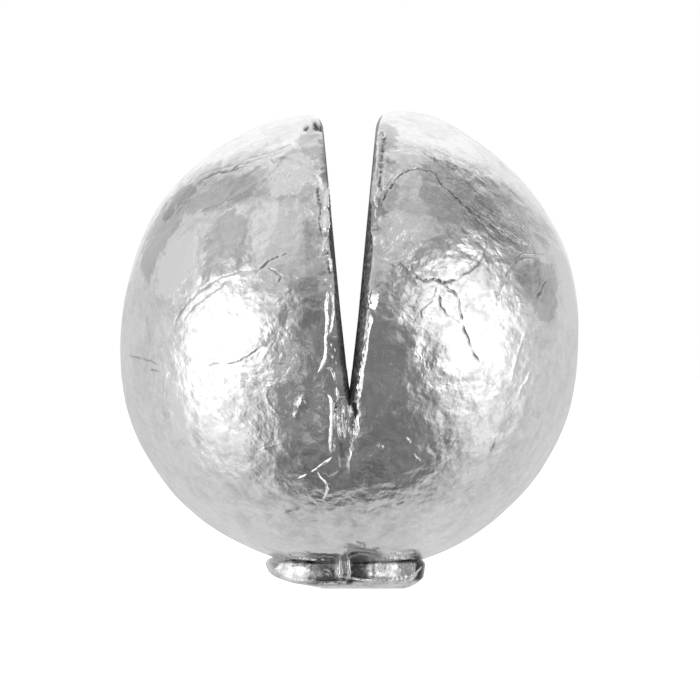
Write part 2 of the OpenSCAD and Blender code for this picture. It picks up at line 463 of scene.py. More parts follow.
# In half widths: the run-out of a fold, the place and half width of the crease under it, the foot of
# a ridge, and the place and half width of the lip that a crack, pit or hole raises
FOLD_RUN, CREASE_AT, CREASE_HALF, RIDGE_FOOT, LIP_AT, LIP_HALF = 7, 1.3, 0.8, 1.7, 2.1, 1.1
# Depth of that crease, height of a ridge and height of that lip, as shares of the mark's height
CREASE_DEPTH, RIDGE_RISE, LIP_RISE = 0.3, 1.3, 0.35
# Painted shade in a fold's crease, a pit, a hole and a crack
CREASE_SHADE, PIT_SHADE, HOLE_SHADE, CRACK_SHADE = 0.34, 0.95, 1.0, 0.62


def line_distance(columns, rows, line):
    """Distance in pixels to a line of pixels, signed by side, and the share of the line passed."""
    best = np.full(len(columns), 1e9)
    signed = np.zeros(len(columns))
    along = np.zeros(len(columns))
    lengths = [math.dist(a, b) for a, b in zip(line, line[1:])]
    passed, whole = 0.0, sum(lengths)
    for (ax, ay), (bx, by), length in zip(line, line[1:], lengths):
        dx, dy = (bx - ax) / length, (by - ay) / length
        reach = np.clip((columns - ax) * dx + (rows - ay) * dy, 0, length)
        off_x, off_y = columns - ax - reach * dx, rows - ay - reach * dy
        distance = np.hypot(off_x, off_y)
        nearer = distance < best
        best = np.where(nearer, distance, best)
        signed = np.where(nearer, np.sign(dx * off_y - dy * off_x) * distance, signed)
        along = np.where(nearer, (passed + reach) / whole, along)
        passed += length
    return best, signed, along


def near_line(columns, rows, line, reach):
    """Which points lie within reach of the box round a line."""
    xs, ys = zip(*line)
    return (
        (columns > min(xs) - reach) & (columns < max(xs) + reach)
        & (rows > min(ys) - reach) & (rows < max(ys) + reach)
    )


def mark_heights(columns, rows, marks):
    """Height in millimetres and painted shade that the marks give at each pixel."""
    height, painted_shade = np.zeros(len(columns)), np.zeros(len(columns))
    for number, (kind, half_width, rise, line) in enumerate(marks.values()):
        near = np.flatnonzero(near_line(columns, rows, line, FOLD_REACH if kind == FOLD else MARK_REACH))
        if not len(near):
            continue
        flat = np.stack((columns[near], rows[near], np.full(len(near), 3.0 * number)), axis=1)
        distance, signed, along = line_distance(
            columns[near] + STRAY * lumps(flat, width=9, seed=3),
            rows[near] + STRAY * lumps(flat, width=9, seed=4), line,
        )
        passed = along * sum(math.dist(a, b) for a, b in zip(line, line[1:]))
        wave = np.sin(passed / WAVES[0] + number * 1.7) * np.cos(passed / WAVES[1] + number)
        waver = 1 - WAVER + WAVER * wave
        taper = END_STRENGTH + (1 - END_STRENGTH) * fade(-0.02, 0.12, along) * fade(1.02, 0.85, along)
        strength = rise * waver * taper
        wide = half_width * (0.75 + 0.4 * waver)
        if kind == FOLD:
            raised = fade(-wide, wide, signed) * np.exp(-np.maximum(signed, 0) / (FOLD_RUN * wide))
            under = np.exp(-(((signed + CREASE_AT * wide) / (CREASE_HALF * wide)) ** 2))
            under *= distance < 5 * wide
            height[near] += strength * (raised - CREASE_DEPTH * under) * (distance < FOLD_REACH)
            painted_shade[near] = np.maximum(painted_shade[near], CREASE_SHADE * waver * under)
        elif kind == RIDGE:
            beads = 0.5 + 0.5 * np.clip(0.5 + lumps(flat, width=3.2, seed=5, depth=2), 0, 1)
            roof = np.maximum(0, 1 - np.abs(signed / wide) / RIDGE_FOOT) * (distance < 4 * wide)
            height[near] += strength * roof * beads * RIDGE_RISE
        else:
            core = np.exp(-((distance / wide) ** 2))
            lip = np.exp(-(((distance - LIP_AT * wide) / (LIP_HALF * wide)) ** 2))
            grain = 1.0
            if kind == PIT:
                grain = np.clip(0.75 + 0.9 * lumps(flat, width=2.4, seed=8, depth=2), 0.1, 1)
            mark_shade = {PIT: PIT_SHADE * grain, HOLE: HOLE_SHADE, CRACK: CRACK_SHADE * waver * taper}[kind]
            height[near] += strength * (LIP_RISE * lip - core * grain)
            painted_shade[near] = np.maximum(painted_shade[near], mark_shade * core)
    return height, painted_shade


def groove_height(columns, rows):
    """Depth of the lead-out groove at each pixel, below nothing."""
    middle = np.interp(rows, GROOVE_ROWS, GROOVE_COLUMNS)
    half = np.interp(rows, GROOVE_ROWS, GROOVE_HALF_WIDTHS)
    depth = np.interp(rows, GROOVE_ROWS, GROOVE_DEPTHS)
    inside = fade(1.08, 0.72, np.abs(columns - middle) / half)
    inside *= fade(GROOVE_ROWS[0] - 2, GROOVE_ROWS[0], rows) * fade(GROOVE_ROWS[-1], GROOVE_ROWS[-2], rows)
    near = np.flatnonzero(inside > 0)
    streaks = np.zeros(len(columns))
    flat = np.stack((columns[near], rows[near] * GROOVE_STREAK_SQUEEZE, np.zeros(len(near))), axis=1)
    streaks[near] = lumps(flat, width=3.2, seed=7) * fade(*GROOVE_STREAK_END, rows[near])
    return (GROOVE_STREAK_RISE * streaks - depth) * inside


# Patches where the skin is paler, duller, darker, streaked or more crumpled than round about, by name:
# the pixels of their outlines. The dark patches are painted shade: on the neck, under the left shoulder's
# fold and beside the slot's upper edges. Dull patches named shade, hollow or notch are painted shade under
# folds, in hollows and below the slot's top corners; the other dull patches are darker lead.
PATCHES = {
    "pale": {
        "left upper bloom": ((254, 216), (268, 207), (288, 200), (302, 206), (304, 230), (300, 254),
            (288, 264), (264, 269), (254, 260), (249, 238)),
        "left shoulder light": ((232, 166), (254, 155), (278, 146), (296, 138), (293, 150), (284, 160),
            (262, 165), (246, 171)),
        "left upper light": ((268, 168), (298, 160), (308, 178), (300, 197), (272, 197)),
        "left rim light": ((160, 252), (180, 234), (199, 222), (197, 250), (187, 280), (166, 300),
            (155, 290)),
        "left low rim light": ((166, 372), (180, 376), (191, 408), (194, 440), (174, 440), (167, 408)),
        "right upper bloom": ((393, 214), (422, 214), (428, 230), (404, 246), (394, 274), (382, 286),
            (380, 262), (390, 236)),
        "right rim light": ((548, 238), (566, 252), (578, 290), (576, 330), (566, 330), (561, 282)),
        "right shoulder light": ((428, 140), (452, 140), (480, 152), (488, 164), (462, 162), (440, 156)),
    },
    "dull": {
        "left chamfer": ((326, 336), (338, 337), (341, 352), (339, 362), (330, 364), (325, 354)),
        "left rim band": ((222, 160), (204, 166), (184, 180), (166, 200), (150, 228), (140, 262),
            (150, 280), (160, 258), (170, 236), (186, 216), (206, 202), (216, 188)),
        "left shoulder hollow": ((202, 186), (222, 178), (246, 173), (256, 173), (260, 182), (250, 196),
            (238, 204), (222, 210), (206, 211), (196, 204)),
        "left middle stain": ((208, 232), (220, 217), (234, 211), (246, 215), (249, 236), (246, 256),
            (240, 270), (226, 276), (208, 286), (203, 264)),
        "left fold shade": ((184, 292), (198, 276), (220, 262), (250, 256), (256, 262), (240, 266),
            (222, 270), (206, 278), (194, 290)),
        "left top notch": ((299, 134), (312, 132), (330, 134), (345, 150), (345, 180), (324, 176),
            (312, 160), (301, 152)),
        "right top notch": ((360, 128), (384, 122), (398, 126), (396, 146), (384, 152), (360, 200)),
        "left slot stain": ((306, 222), (318, 218), (322, 236), (320, 258), (308, 258), (303, 240)),
        "right shoulder wedge": ((425, 163), (436, 158), (452, 166), (468, 182), (484, 203), (500, 218),
            (514, 233), (524, 247), (503, 248), (486, 236), (470, 226), (448, 226), (430, 214), (418, 194)),
        "right fold shade": ((456, 272), (470, 262), (500, 264), (504, 276), (480, 284), (460, 282)),
        "right bulge hollow": ((404, 262), (420, 250), (436, 236), (452, 228), (466, 233), (460, 244),
            (446, 252), (430, 262), (414, 270), (404, 286), (394, 292), (388, 282), (394, 270)),
        "right rim shade": ((482, 176), (500, 184), (514, 197), (508, 206), (494, 195), (480, 187)),
        "right wedge end": ((484, 215), (500, 219), (515, 235), (523, 248), (508, 248), (493, 233)),
        "right shoulder shade": ((374, 204), (380, 194), (392, 184), (402, 180), (396, 195), (385, 210),
            (376, 218)),
        "right top stain": ((381, 158), (398, 160), (393, 172), (384, 170)),
        "right waist stain": ((520, 265), (536, 260), (552, 263), (558, 290), (554, 318), (541, 322),
            (531, 302), (512, 294), (509, 278)),
        "centre left stain": ((290, 278), (318, 274), (322, 300), (319, 326), (302, 330), (291, 318),
            (288, 296)),
    },
    "dark": {
        "left rim edge": ((200, 182), (184, 188), (170, 202), (160, 218), (166, 222), (180, 208),
            (196, 193)),
        "neck shade": ((290, 556), (340, 553), (349, 543), (366, 546), (380, 552), (380, 566), (290, 566)),
        "left top edge": ((320, 138), (336, 138), (338, 184), (322, 182)),
        "right top edge": ((362, 196), (381, 202), (380, 226), (362, 228)),
    },
    "streaked": {
        "left shoulder streaks": ((188, 192), (230, 164), (290, 142), (304, 156), (300, 190), (264, 198),
            (240, 206), (214, 214), (196, 208)),
        "right shoulder streaks": ((418, 146), (458, 148), (500, 176), (540, 220), (558, 252), (520, 250),
            (480, 238), (440, 216), (422, 190)),
    },
    "crumpled": {
        "right bulge": ((410, 236), (440, 214), (470, 206), (500, 222), (512, 244), (500, 266), (470, 270),
            (440, 274), (414, 282), (392, 288), (388, 262)),
        "right shoulder": ((425, 150), (460, 156), (492, 180), (506, 206), (480, 210), (452, 196),
            (432, 176)),
    },
}
PATCH_SOFTNESS = 9.0


def patch_share(columns, rows, patches):
    """How far each pixel lies inside a patch: 1 well inside, half on an outline, 0 well outside."""
    share = np.zeros(len(columns))
    for outline in patches.values():
        ring = outline + outline[:1]
        near = np.flatnonzero(near_line(columns, rows, outline, 2 * PATCH_SOFTNESS))
        if not len(near):
            continue
        distance = line_distance(columns[near], rows[near], ring)[0]
        inside = np.zeros(len(near), bool)
        for (ax, ay), (bx, by) in zip(ring, ring[1:]):
            crosses = (rows[near] < ay) != (rows[near] < by)
            at = ax + (rows[near] - ay) / (by - ay if by != ay else 1e-9) * (bx - ax)
            inside ^= crosses & (columns[near] < at)
        signed = np.where(inside, distance, -distance)
        share[near] = np.maximum(share[near], np.clip(0.5 + signed / (2 * PATCH_SOFTNESS), 0, 1))
    return share


# The form of a half of the ball

# Swellings and hollows of the outline as the photograph shows them: degrees round from the right,
# width in degrees, and height in millimetres
OUTLINE_SWELLS = (
    (71, 9, 0.16), (132, 26, -0.04), (163, 12, -0.095), (182, 10, -0.02), (197, 15, 0.065),
    (240, 12, -0.045), (310, 18, -0.045), (2, 8, -0.02),
)
SWELL_SOFTNESS = 1.25

# Half width of the slot between its walls, in millimetres, at heights above its root
SLOT_RISES = (0.0, 0.10, 0.45, 0.68, 8.0)
SLOT_HALVES = (0.0, 0.028, 0.060, 0.118, 0.797)
# Flare of each wall towards the ball's face, in pixels of the photograph from row to row, the depth
# in millimetres over which it comes, and the power of its curve
FLARE_ROWS = (186, 205, 235, 250, 265, 282, 300, 322, 345, 358, 372, 388, 397, 404)
LEFT_FLARES = (1.0, 2.0, 4.8, 4.4, 3.8, 2.6, 4.0, 4.4, 4.4, 4.8, 4.6, 5.4, 4.0, 0.0)
RIGHT_FLARES = (2.0, 3.2, 5.8, 7.6, 8.6, 8.0, 9.2, 8.6, 7.0, 6.6, 8.8, 8.6, 8.0, 0.0)
FLARE_DEPTH = 0.50
FLARE_POWER = 1.6
# The slot's rounded top corners: rows of the photograph, with the reach of the round along the ball
# and into the slot, and its fullness, which is 1 where it is round and 0 where it is cut straight
LIP_ROWS = (100, 113, 120, 132, 160, 200, 240)
LIP_REACHES = (0.46, 0.44, 0.24, 0.10, 0.06, 0.04, 0.0)
LIP_FULLNESS = (1.0, 1.0, 0.9, 0.8, 0.8, 0.8, 0.8)
# Rounds of settling the slot's rim between the walls' width and the ball's curve
RIM_ROUNDS = 12
# Share of the ball's radius past which a point of the bare half ball is on its skin
ON_SKIN = 0.9995
# Steps in from the rim of the rings that carry the slot's wall
WALL_STEPS = (0.03, 0.05, 0.07, 0.09, 0.11, 0.14, 0.2, 0.3, 0.5, 0.9, 1.2, 1.2)
# How near to a mark, in pixels, and to the ends of the slot's root, in millimetres, the skin is refined
# at each step, and how deep towards the ball's middle those ends go
MARK_NEARS = (8.0, 3.8, 2.1)
ROOT_NEARS = (1.0, 0.75, 0.0)
ROOT_END_DEPTH = 3.5
# Most corners that a face may have to be refined
MOST_CORNERS = 8
# Broad swells and fine lumps of the skin: their widths and heights in millimetres
SWELL_WIDTH, SWELL_RISE, LUMP_WIDTH, LUMP_RISE = 2.6, 0.030, 0.9, 0.007


def outline_radius(ways, side):
    """Distance from the ball's centre to its skin in each direction."""
    belt_half, crown_r = size("belt_half"), size("crown_r")
    tilt = bpy.context.scene.shot_sizes.face_tilt
    along = ways @ np.array((side * math.cos(tilt), 0, -math.sin(tilt)))
    onto = np.sqrt(np.maximum(0, 1 - along ** 2)) * crown_r + along * belt_half
    radius = onto + np.sqrt(onto ** 2 - crown_r ** 2 - belt_half ** 2 + size("shoulder_r") ** 2)
    for degrees, width, rise in OUTLINE_SWELLS:
        toward = np.array((math.cos(math.radians(degrees)), 0, math.sin(math.radians(degrees))))
        turn = np.degrees(np.arccos(np.clip(ways @ toward, -1, 1)))
        radius += rise * np.exp(-((turn / (width * SWELL_SOFTNESS)) ** 2))
    return radius


def slot_half(heights):
    """Half the slot's width at heights measured from the ball's centre."""
    return np.interp(heights + size("root_drop"), SLOT_RISES, SLOT_HALVES)


def shape_half(obj, side):
    """Leans the upper part of a half ball's flat face to the slot's wall, gives the ball its outline,
    and flares the slot's edge."""
    flares = np.array(LEFT_FLARES if side < 0 else RIGHT_FLARES) * PIXEL
    points = points_of(obj) - (0, 0, ball_z())
    on_skin = np.linalg.norm(points, axis=1) > BELT_R * ON_SKIN
    turn = np.arctan2(-points[:, 1], points[:, 2])
    rim_away = np.zeros(len(points))
    for _ in range(RIM_ROUNDS):
        rim_z = np.sqrt(BELT_R ** 2 - rim_away ** 2) * np.cos(turn)
        rim_row = FOOT_ROW - (rim_z + ball_z()) / PIXEL
        flare = np.interp(rim_row, FLARE_ROWS, flares)
        rim_away = slot_half(rim_z) + flare

    def ring(away, across):
        """Points at these distances from the slot's plane and from the line through the ball's poles."""
        return np.stack((side * away, -across * np.sin(turn), across * np.cos(turn)), axis=1)

    rim_angle = np.arccos(rim_away / BELT_R)
    rim_across = BELT_R * np.sin(rim_angle)
    angle = np.arccos(np.clip(np.abs(points[:, 0]) / BELT_R, 0, 1)) * rim_angle / (math.pi / 2)
    across_wall = np.hypot(points[:, 1], points[:, 2]) * np.sin(rim_angle)
    across = np.where(on_skin, BELT_R * np.sin(angle), across_wall)
    deep = np.clip((rim_across - across_wall) / FLARE_DEPTH, 0, 1)
    wall_away = slot_half(across * np.cos(turn)) + flare * (1 - deep) ** FLARE_POWER
    out = ring(np.where(on_skin, BELT_R * np.cos(angle), wall_away), across)

    # The rounded top corners: a curve from the skin to the slot's wall, past the corner where they meet
    lip = np.interp(rim_row, LIP_ROWS, LIP_REACHES)
    full = np.interp(rim_row, LIP_ROWS, LIP_FULLNESS)[:, None]
    outward = np.where(on_skin, (rim_angle - angle) * BELT_R, across_wall - rim_across)
    in_lip = (np.abs(outward) < lip) & (rim_row < LIP_ROWS[-1])
    share = np.clip((lip - outward) / np.maximum(2 * lip, 1e-6), 0, 1)[:, None]
    lip_angle = rim_angle - lip / BELT_R
    on_lip = ring(BELT_R * np.cos(lip_angle), BELT_R * np.sin(lip_angle))
    in_slot = ring(slot_half((rim_across - lip) * np.cos(turn)), rim_across - lip)
    chord = (on_lip + in_slot) / 2
    corner = chord + full * (ring(rim_away, rim_across) - chord)
    curve = (1 - share) ** 2 * on_lip + 2 * share * (1 - share) * corner + share ** 2 * in_slot
    out = np.where(in_lip[:, None], curve, out)

    out *= (outline_radius(unit(out), side) / BELT_R)[:, None]
    set_points(obj, out + (0, 0, ball_z()))
    # Masks of the slot's wall and flare, on which the material paints the shade inside the slot
    wall = np.where(on_skin | (outward > -0.002) | (rim_row > FLARE_ROWS[-1]), 0.0, 1.0)
    add_values(obj, "slot_wall_shade", wall)
    add_values(obj, "slot_flare_shade", wall * fade(1.6, 0.6, deep) * fade(150, 200, rim_row))
    add_values(obj, "is_wall", np.where(on_skin, 0.0, 1.0))


def cut_half_ball(side):
    """One half of a sphere that lies on its side, closed by a flat face with rings for the slot's wall."""
    counts = bpy.context.scene.shot_sizes
    deselect_all()
    bpy.ops.mesh.primitive_uv_sphere_add(
        segments=counts.segments, ring_count=counts.rings, radius=BELT_R * MM,
        location=(0, 0, ball_z() * MM), rotation=(0, math.pi / 2, 0),
    )
    obj = settle(bpy.context.object)
    bpy.ops.object.mode_set(mode="EDIT")
    bpy.ops.mesh.select_all(action="SELECT")
    bpy.ops.mesh.bisect(
        plane_co=(0, 0, 0), plane_no=(-side, 0, 0), use_fill=True, clear_outer=True, threshold=1e-7
    )
    bpy.ops.object.mode_set(mode="OBJECT")
    areas = read(obj.data.polygons, "area")
    pick_faces(obj, areas == areas.max())
    for step in WALL_STEPS:
        bpy.ops.mesh.inset(thickness=step * MM, depth=0)
    bpy.ops.object.mode_set(mode="OBJECT")
    return obj


def turned_over(rows):
    """Rows of the marks that the back of the ball repeats upside down."""
    return 2 * (FOOT_ROW - ball_z() / PIXEL) - rows


def near_marks(centres, reach):
    """Which faces lie near a mark, at the front or at the back."""
    front = centres[:, 1] < 0
    columns, rows = front_pixels(centres)
    near = np.zeros(len(centres), bool)
    groups = (
        (GROOVE_MARKS, rows, np.abs(centres[:, 1]) > GROOVE_REFINED),
        (MARKS, rows, front),
        ({name: MARKS[name] for name in BACK_MARKS}, turned_over(rows), ~front),
    )
    for marks, own_rows, allowed in groups:
        for _, _, _, line in marks.values():
            close = np.flatnonzero(near_line(columns, own_rows, line, reach) & allowed)
            near[close] |= line_distance(columns[close], own_rows[close], line)[0] < reach
    return near


def make_half(side, name):
    """One half of the ball, refined along its marks and round the ends of the slot's root."""
    obj = cut_half_ball(side)
    shape_half(obj, side)
    for mark_near, root_near in zip(MARK_NEARS, ROOT_NEARS):
        centres = face_centres(obj)
        from_root = np.hypot(centres[:, 0], centres[:, 2] - ROOT_Z)
        wanted = (from_root < root_near) & (np.abs(centres[:, 1]) > ROOT_END_DEPTH)
        wanted |= near_marks(centres, mark_near)
        refine(obj, wanted & (read(obj.data.polygons, "loop_total") <= MOST_CORNERS))
    emboss(obj)
    smooth_by_angle(obj, 50)
    return named(obj, name)


def emboss(obj):
    """Raises and cuts the marks of casting at the front, and others like them at the back."""
    points = points_of(obj)
    is_wall = read_values(obj, "is_wall") > 0.5
    skin = np.where(is_wall, 0, 1 - read_values(obj, "slot_wall_shade"))
    depth = np.abs(points[:, 1])
    columns, rows = front_pixels(points)
    at_front = points[:, 1] < 0
    front = mark_heights(columns, rows, MARKS)
    back = mark_heights(columns, turned_over(rows), {name: MARKS[name] for name in BACK_MARKS})
    height, painted_shade = np.where(at_front, front, back) * skin * fade(0.05, 0.3, depth)
    at_groove = np.where(is_wall, 0, depth > GROOVE_CUT)
    groove_ridges, groove_shade = mark_heights(columns, rows, GROOVE_MARKS)
    height += (groove_height(columns, rows) + groove_ridges) * at_groove
    painted_shade = np.maximum(painted_shade, groove_shade * at_groove)
    swells = lumps(points, SWELL_WIDTH, seed=1, depth=2) * SWELL_RISE
    height += (swells + lumps(points, LUMP_WIDTH, seed=2) * LUMP_RISE) * skin
    set_points(obj, points + unit(points - (0, 0, ball_z())) * height[:, None])
    # The painted shade of the marks and the groove, which the material darkens the skin with
    add_values(obj, "painted_shade", np.clip(painted_shade, 0, 1))
    for name, patches in PATCHES.items():
        add_values(obj, name, patch_share(columns, rows, patches) * (~is_wall & at_front))


class SHOT_OT_ball_halves(bpy.types.Operator):
    """Model the two halves of the cast ball, with the slot between them"""

    bl_idname = "shot.ball_halves"
    bl_label = "Ball Halves"

    def execute(self, context):
        for side, name, body, nodes in (
            (-1, "left_half_skin", "left_half", ("left_jaw", "hinge_web")),
            (1, "right_half_skin", "right_half", ("right_jaw",)),
        ):
            obj = make_half(side, name)
            obj.data.materials.append(cast_lead())
            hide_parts(*nodes)
            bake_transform(obj)
        return {"FINISHED"}


# Flash along the slot's edges, as beads. A roof has a crest along its middle, a slab has a flat top,
# and a burr is a roof that stands level with a row of tents on it. Each has its height as a share of
# its half width, its lean, which pushes a roof's crest along X and tilts a slab's top, and its line of
# pixels with half widths in pixels
ROOF, SLAB, BURR = "roof", "slab", "burr"
LEFT_FLASH = {
    "top slab": (SLAB, 0.50, 0.45, ((328.4, 186, 1.0), (327.0, 190, 2.6), (325.8, 196, 3.6),
        (325.6, 204, 3.9), (325.6, 210, 3.7))),
    "top slab, low half": (SLAB, 0.50, 0.45, ((325.4, 211, 3.6), (325.6, 217, 4.2), (325.8, 225, 4.6),
        (326.2, 231, 3.6))),
    "second slab": (SLAB, 0.50, 0.45, ((325.8, 237, 2.0), (324.8, 242, 3.0), (323.6, 249, 2.8),
        (322.8, 252, 1.6))),
    "hook": (ROOF, 0.85, 0.5, ((324.0, 257.5, 1.0), (328.0, 257.3, 1.6), (330.6, 260, 1.7),
        (331.4, 266, 1.6), (331.0, 271, 1.1))),
    "upper dot": (ROOF, 0.70, 0.0, ((325.4, 276.5, 1.1), (325.8, 281.5, 1.9))),
    "side dot": (ROOF, 0.70, 0.0, ((330.4, 283.5, 1.0), (331.0, 288, 1.4))),
    "outer line": (ROOF, 0.90, 0.6, ((327.6, 291, 1.2), (326.6, 302, 1.9), (326.1, 311, 1.4),
        (327.4, 320, 1.8), (326.8, 329, 1.4), (325.2, 338, 1.5), (326.2, 348, 1.3), (324.6, 359, 2.0),
        (320.6, 368, 1.6), (317.6, 373, 0.8))),
    "inner line": (ROOF, 0.70, -0.3, ((330.7, 291, 1.2), (332.6, 298, 1.5), (333.2, 307, 1.2),
        (332.8, 316, 1.6), (331.6, 325, 1.2), (329.5, 334, 0.9))),
    "low hook": (ROOF, 0.85, 0.5, ((325.7, 368, 1.0), (330.2, 368.6, 1.8), (333.2, 373, 1.7),
        (335.0, 381, 0.8))),
    "root bit": (ROOF, 0.85, 0.5, ((336.4, 387, 0.9), (337.6, 395, 1.5), (337.2, 402, 1.2))),
    "bridge": (ROOF, 0.60, 0.0, ((332.0, 336.0, 0.7), (335.4, 337.4, 1.0), (337.2, 336.2, 0.8))),
    "grain one": (ROOF, 0.70, 0.0, ((330.5, 343, 0.9), (331.5, 346.5, 1.0))),
    "grain two": (ROOF, 0.70, 0.0, ((334.5, 348, 0.9), (335.2, 352, 1.0))),
    "grain three": (ROOF, 0.70, 0.0, ((331.5, 355, 0.9), (333.0, 358.5, 1.1))),
    "grain four": (ROOF, 0.70, 0.0, ((335.6, 361, 0.8), (336.6, 365, 0.9))),
}
RIGHT_FLASH = {
    "ring": (ROOF, 0.65, 0.0, ((379.0, 136, 1.1), (379.8, 132, 1.5), (383.0, 130.4, 1.6),
        (386.0, 132.8, 1.6), (385.4, 136.4, 1.3), (382.2, 138.6, 1.0))),
    "top bead": (SLAB, 0.60, -0.45, ((378.6, 141, 1.0), (378.0, 145, 2.0), (378.4, 150, 1.3),
        (377.8, 155, 2.0), (378.0, 160, 1.4), (377.4, 165, 1.9), (377.2, 170, 1.3), (376.4, 175, 2.1),
        (376.2, 182, 1.0))),
    "blob": (SLAB, 0.60, -0.45, ((375.0, 194.0, 1.4), (376.0, 199, 3.2), (376.4, 203, 2.6),
        (377.4, 208, 1.0))),
    "low ring": (ROOF, 0.60, 0.0, ((376.2, 208, 0.9), (375.4, 213, 1.2), (376.0, 218.5, 0.9))),
    "waist blob": (ROOF, 0.80, -0.6, ((372.8, 290.0, 1.8), (374.4, 294, 3.6), (373.4, 301, 5.4),
        (372.0, 307, 3.8), (370.6, 312, 1.8))),
    "bead line": (ROOF, 0.90, -0.6, ((370.6, 314, 1.8), (370.2, 321, 2.6), (368.8, 328, 2.0),
        (367.6, 338, 1.8), (366.6, 346, 1.7), (365.0, 354, 2.3), (363.6, 362, 2.5), (362.2, 368, 1.9),
        (361.8, 376, 2.7), (360.4, 386, 2.7), (358.6, 396, 2.5), (357.4, 405, 1.4))),
}
# Beads: the step from ring to ring and the sides of a ring, the length of a bead's pointed ends, and
# the rags and waves along it, with their length and how much they change its width
BEAD_STEP = 0.03
BEAD_SIDES = 12
BEAD_POINT = 0.06
BEAD_RAG, BEAD_ROUGH, BEAD_WAVE, BEAD_WAVER = 0.13, 0.45, 0.5, 0.30
# How calm slabs and burrs are beside roofs, and the powers of a roof's and a slab's section
CALM = 0.35
ROOF_POWER, SLAB_POWER = 1.25, 5.0
# Height of the tents that stand in a row along a burr, each four steps long
TENT_HEIGHT = 0.036


def skin_place(skins, column, row):
    """The place on the nearest of some skins that shows at a pixel."""
    start = Vector(camera_place()) * MM
    toward = Vector(from_pixels(column, row, 0)) * MM - start
    hits = [skin.ray_cast(start, toward.normalized()) for skin in skins]
    places = [place for found, place, _, _ in hits if found]
    if not places:
        raise RuntimeError(f"no skin at pixel {column}, {row} for the flash")
    return np.array(min(places, key=lambda place: (place - start).length)) / MM


def bead_along(places, half_widths, seed, kind, stand, lean=0.0):
    """A ragged bead through places on the skin, half sunk in it and closed at both ends. A roof stands
    square to the ball, a slab faces square to the slot, and a burr stands straight out to the front."""
    steps = np.linalg.norm(np.diff(places, axis=0), axis=1)
    passed = np.concatenate(((0,), np.cumsum(steps)))
    count = max(6, int(passed[-1] / BEAD_STEP) + 1)
    at = np.linspace(0, passed[-1], count)
    line = np.stack([np.interp(at, passed, places[:, k]) for k in range(3)], axis=1)
    half = np.interp(at, passed, half_widths)
    half *= np.clip(np.minimum(at, passed[-1] - at) / BEAD_POINT, 0.15, 1)
    out = unit((line - (0, 0, ball_z())) * {ROOF: (1, 1, 1), SLAB: (0, 1, 1), BURR: (0, 1, 0)}[kind])
    across = np.cross(unit(np.gradient(line, axis=0)), out)
    obj = bar(count, BEAD_STEP, BEAD_SIDES)
    points = points_of(obj)
    ring = np.clip(np.rint(points[:, 2] / BEAD_STEP).astype(int), 0, count - 1)
    turn = np.arctan2(points[:, 1], points[:, 0])
    aside, up = np.cos(turn), np.sin(turn)
    around = np.stack((aside * 0.2, up * 0.2, at[ring]), axis=1)
    rough = lumps(around, BEAD_RAG, seed, depth=4)
    waver = lumps(np.stack((at, at * 0, at * 0), axis=1), BEAD_WAVE, seed + 1)[ring]
    calm = 1.0 if kind == ROOF else CALM
    width = half[ring] * (1 + calm * (BEAD_ROUGH * rough + BEAD_WAVER * waver))
    power = ROOF_POWER if kind == ROOF else SLAB_POWER
    crest = np.where(up > 0, 1 - np.abs(aside) ** power, up)
    rise = width * stand * crest
    if kind == SLAB:
        rise += lean * across[ring, 0] * width * aside * (up > -0.1)
    if kind == BURR:
        tents = np.abs(ring % 4 - 2) / 2 * np.clip(0.6 + 1.4 * rough, 0, 1.3)
        rise += TENT_HEIGHT * tents * fade(0.0, 0.3, rise / width)
    moved = line[ring] + across[ring] * (width * aside)[:, None] + out[ring] * rise[:, None]
    if kind == ROOF:
        moved[:, 0] += width * lean * np.maximum(0, crest)
    set_points(obj, moved)
    select_only(obj)
    bpy.ops.object.mode_set(mode="EDIT")
    bpy.ops.mesh.select_all(action="SELECT")
    bpy.ops.mesh.normals_make_consistent(inside=False)
    bpy.ops.object.mode_set(mode="OBJECT")
    return obj


def make_beads(lines, skins, seed, flips=(1, -1)):
    """Beads along lines of pixels, at the front and, with other bumps, at the back."""
    beads = []
    for number, (kind, stand, lean, line) in enumerate(lines.values()):
        places = np.array([skin_place(skins, column, row) for column, row, _ in line])
        halves = np.array([half * PIXEL for _, _, half in line])
        for flip in flips:
            own_seed = seed + number + 20 - 20 * flip
            beads.append(bead_along(places * (1, flip, 1), halves, own_seed, kind, stand, lean))
    return beads


class SHOT_OT_slot_flash(bpy.types.Operator):
    """Model the ragged beads of flash along both edges of the slot"""

    bl_idname = "shot.slot_flash"
    bl_label = "Slot Flash"

    def execute(self, context):
        context.view_layer.update()
        for lines, skin, body, node, seed in (
            (LEFT_FLASH, "left_half_skin", "left_half", "left_slot_flash", 11),
            (RIGHT_FLASH, "right_half_skin", "right_half", "right_slot_flash", 71),
        ):
            name = node.replace("slot_flash", "edge_flash")
            flash = join(make_beads(lines, (bpy.data.objects[skin],), seed), name)
            smooth_by_angle(flash, 60)
            flash.data.materials.append(flash_lead())
            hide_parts(node)
            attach(flash, body)
        return {"FINISHED"}


# The gate foot, by height: its half widths to left and right, and its half depth
FOOT_HEIGHTS = (0.0, 0.05, 0.10, 0.15, 0.26, 0.30, 0.34, 0.44, 0.62, 0.70, 0.74, 0.80, 1.10)
FOOT_LEFTS = (0.74, 0.84, 1.10, 1.46, 1.80, 1.93, 2.00, 2.11, 2.18, 2.19, 2.12, 2.00, 1.80)
FOOT_RIGHTS = (1.46, 1.58, 1.68, 1.78, 1.89, 1.93, 1.93, 1.95, 1.975, 1.95, 1.88, 1.80, 1.60)
FOOT_DEPTHS = (0.40, 1.10, 1.36, 1.52, 1.64, 1.66, 1.62, 1.60, 1.60, 1.61, 1.54, 1.50, 1.40)
FOOT_REACHES = FOOT_LEFTS, FOOT_RIGHTS, FOOT_DEPTHS
FOOT_SQUARENESS = 4.2
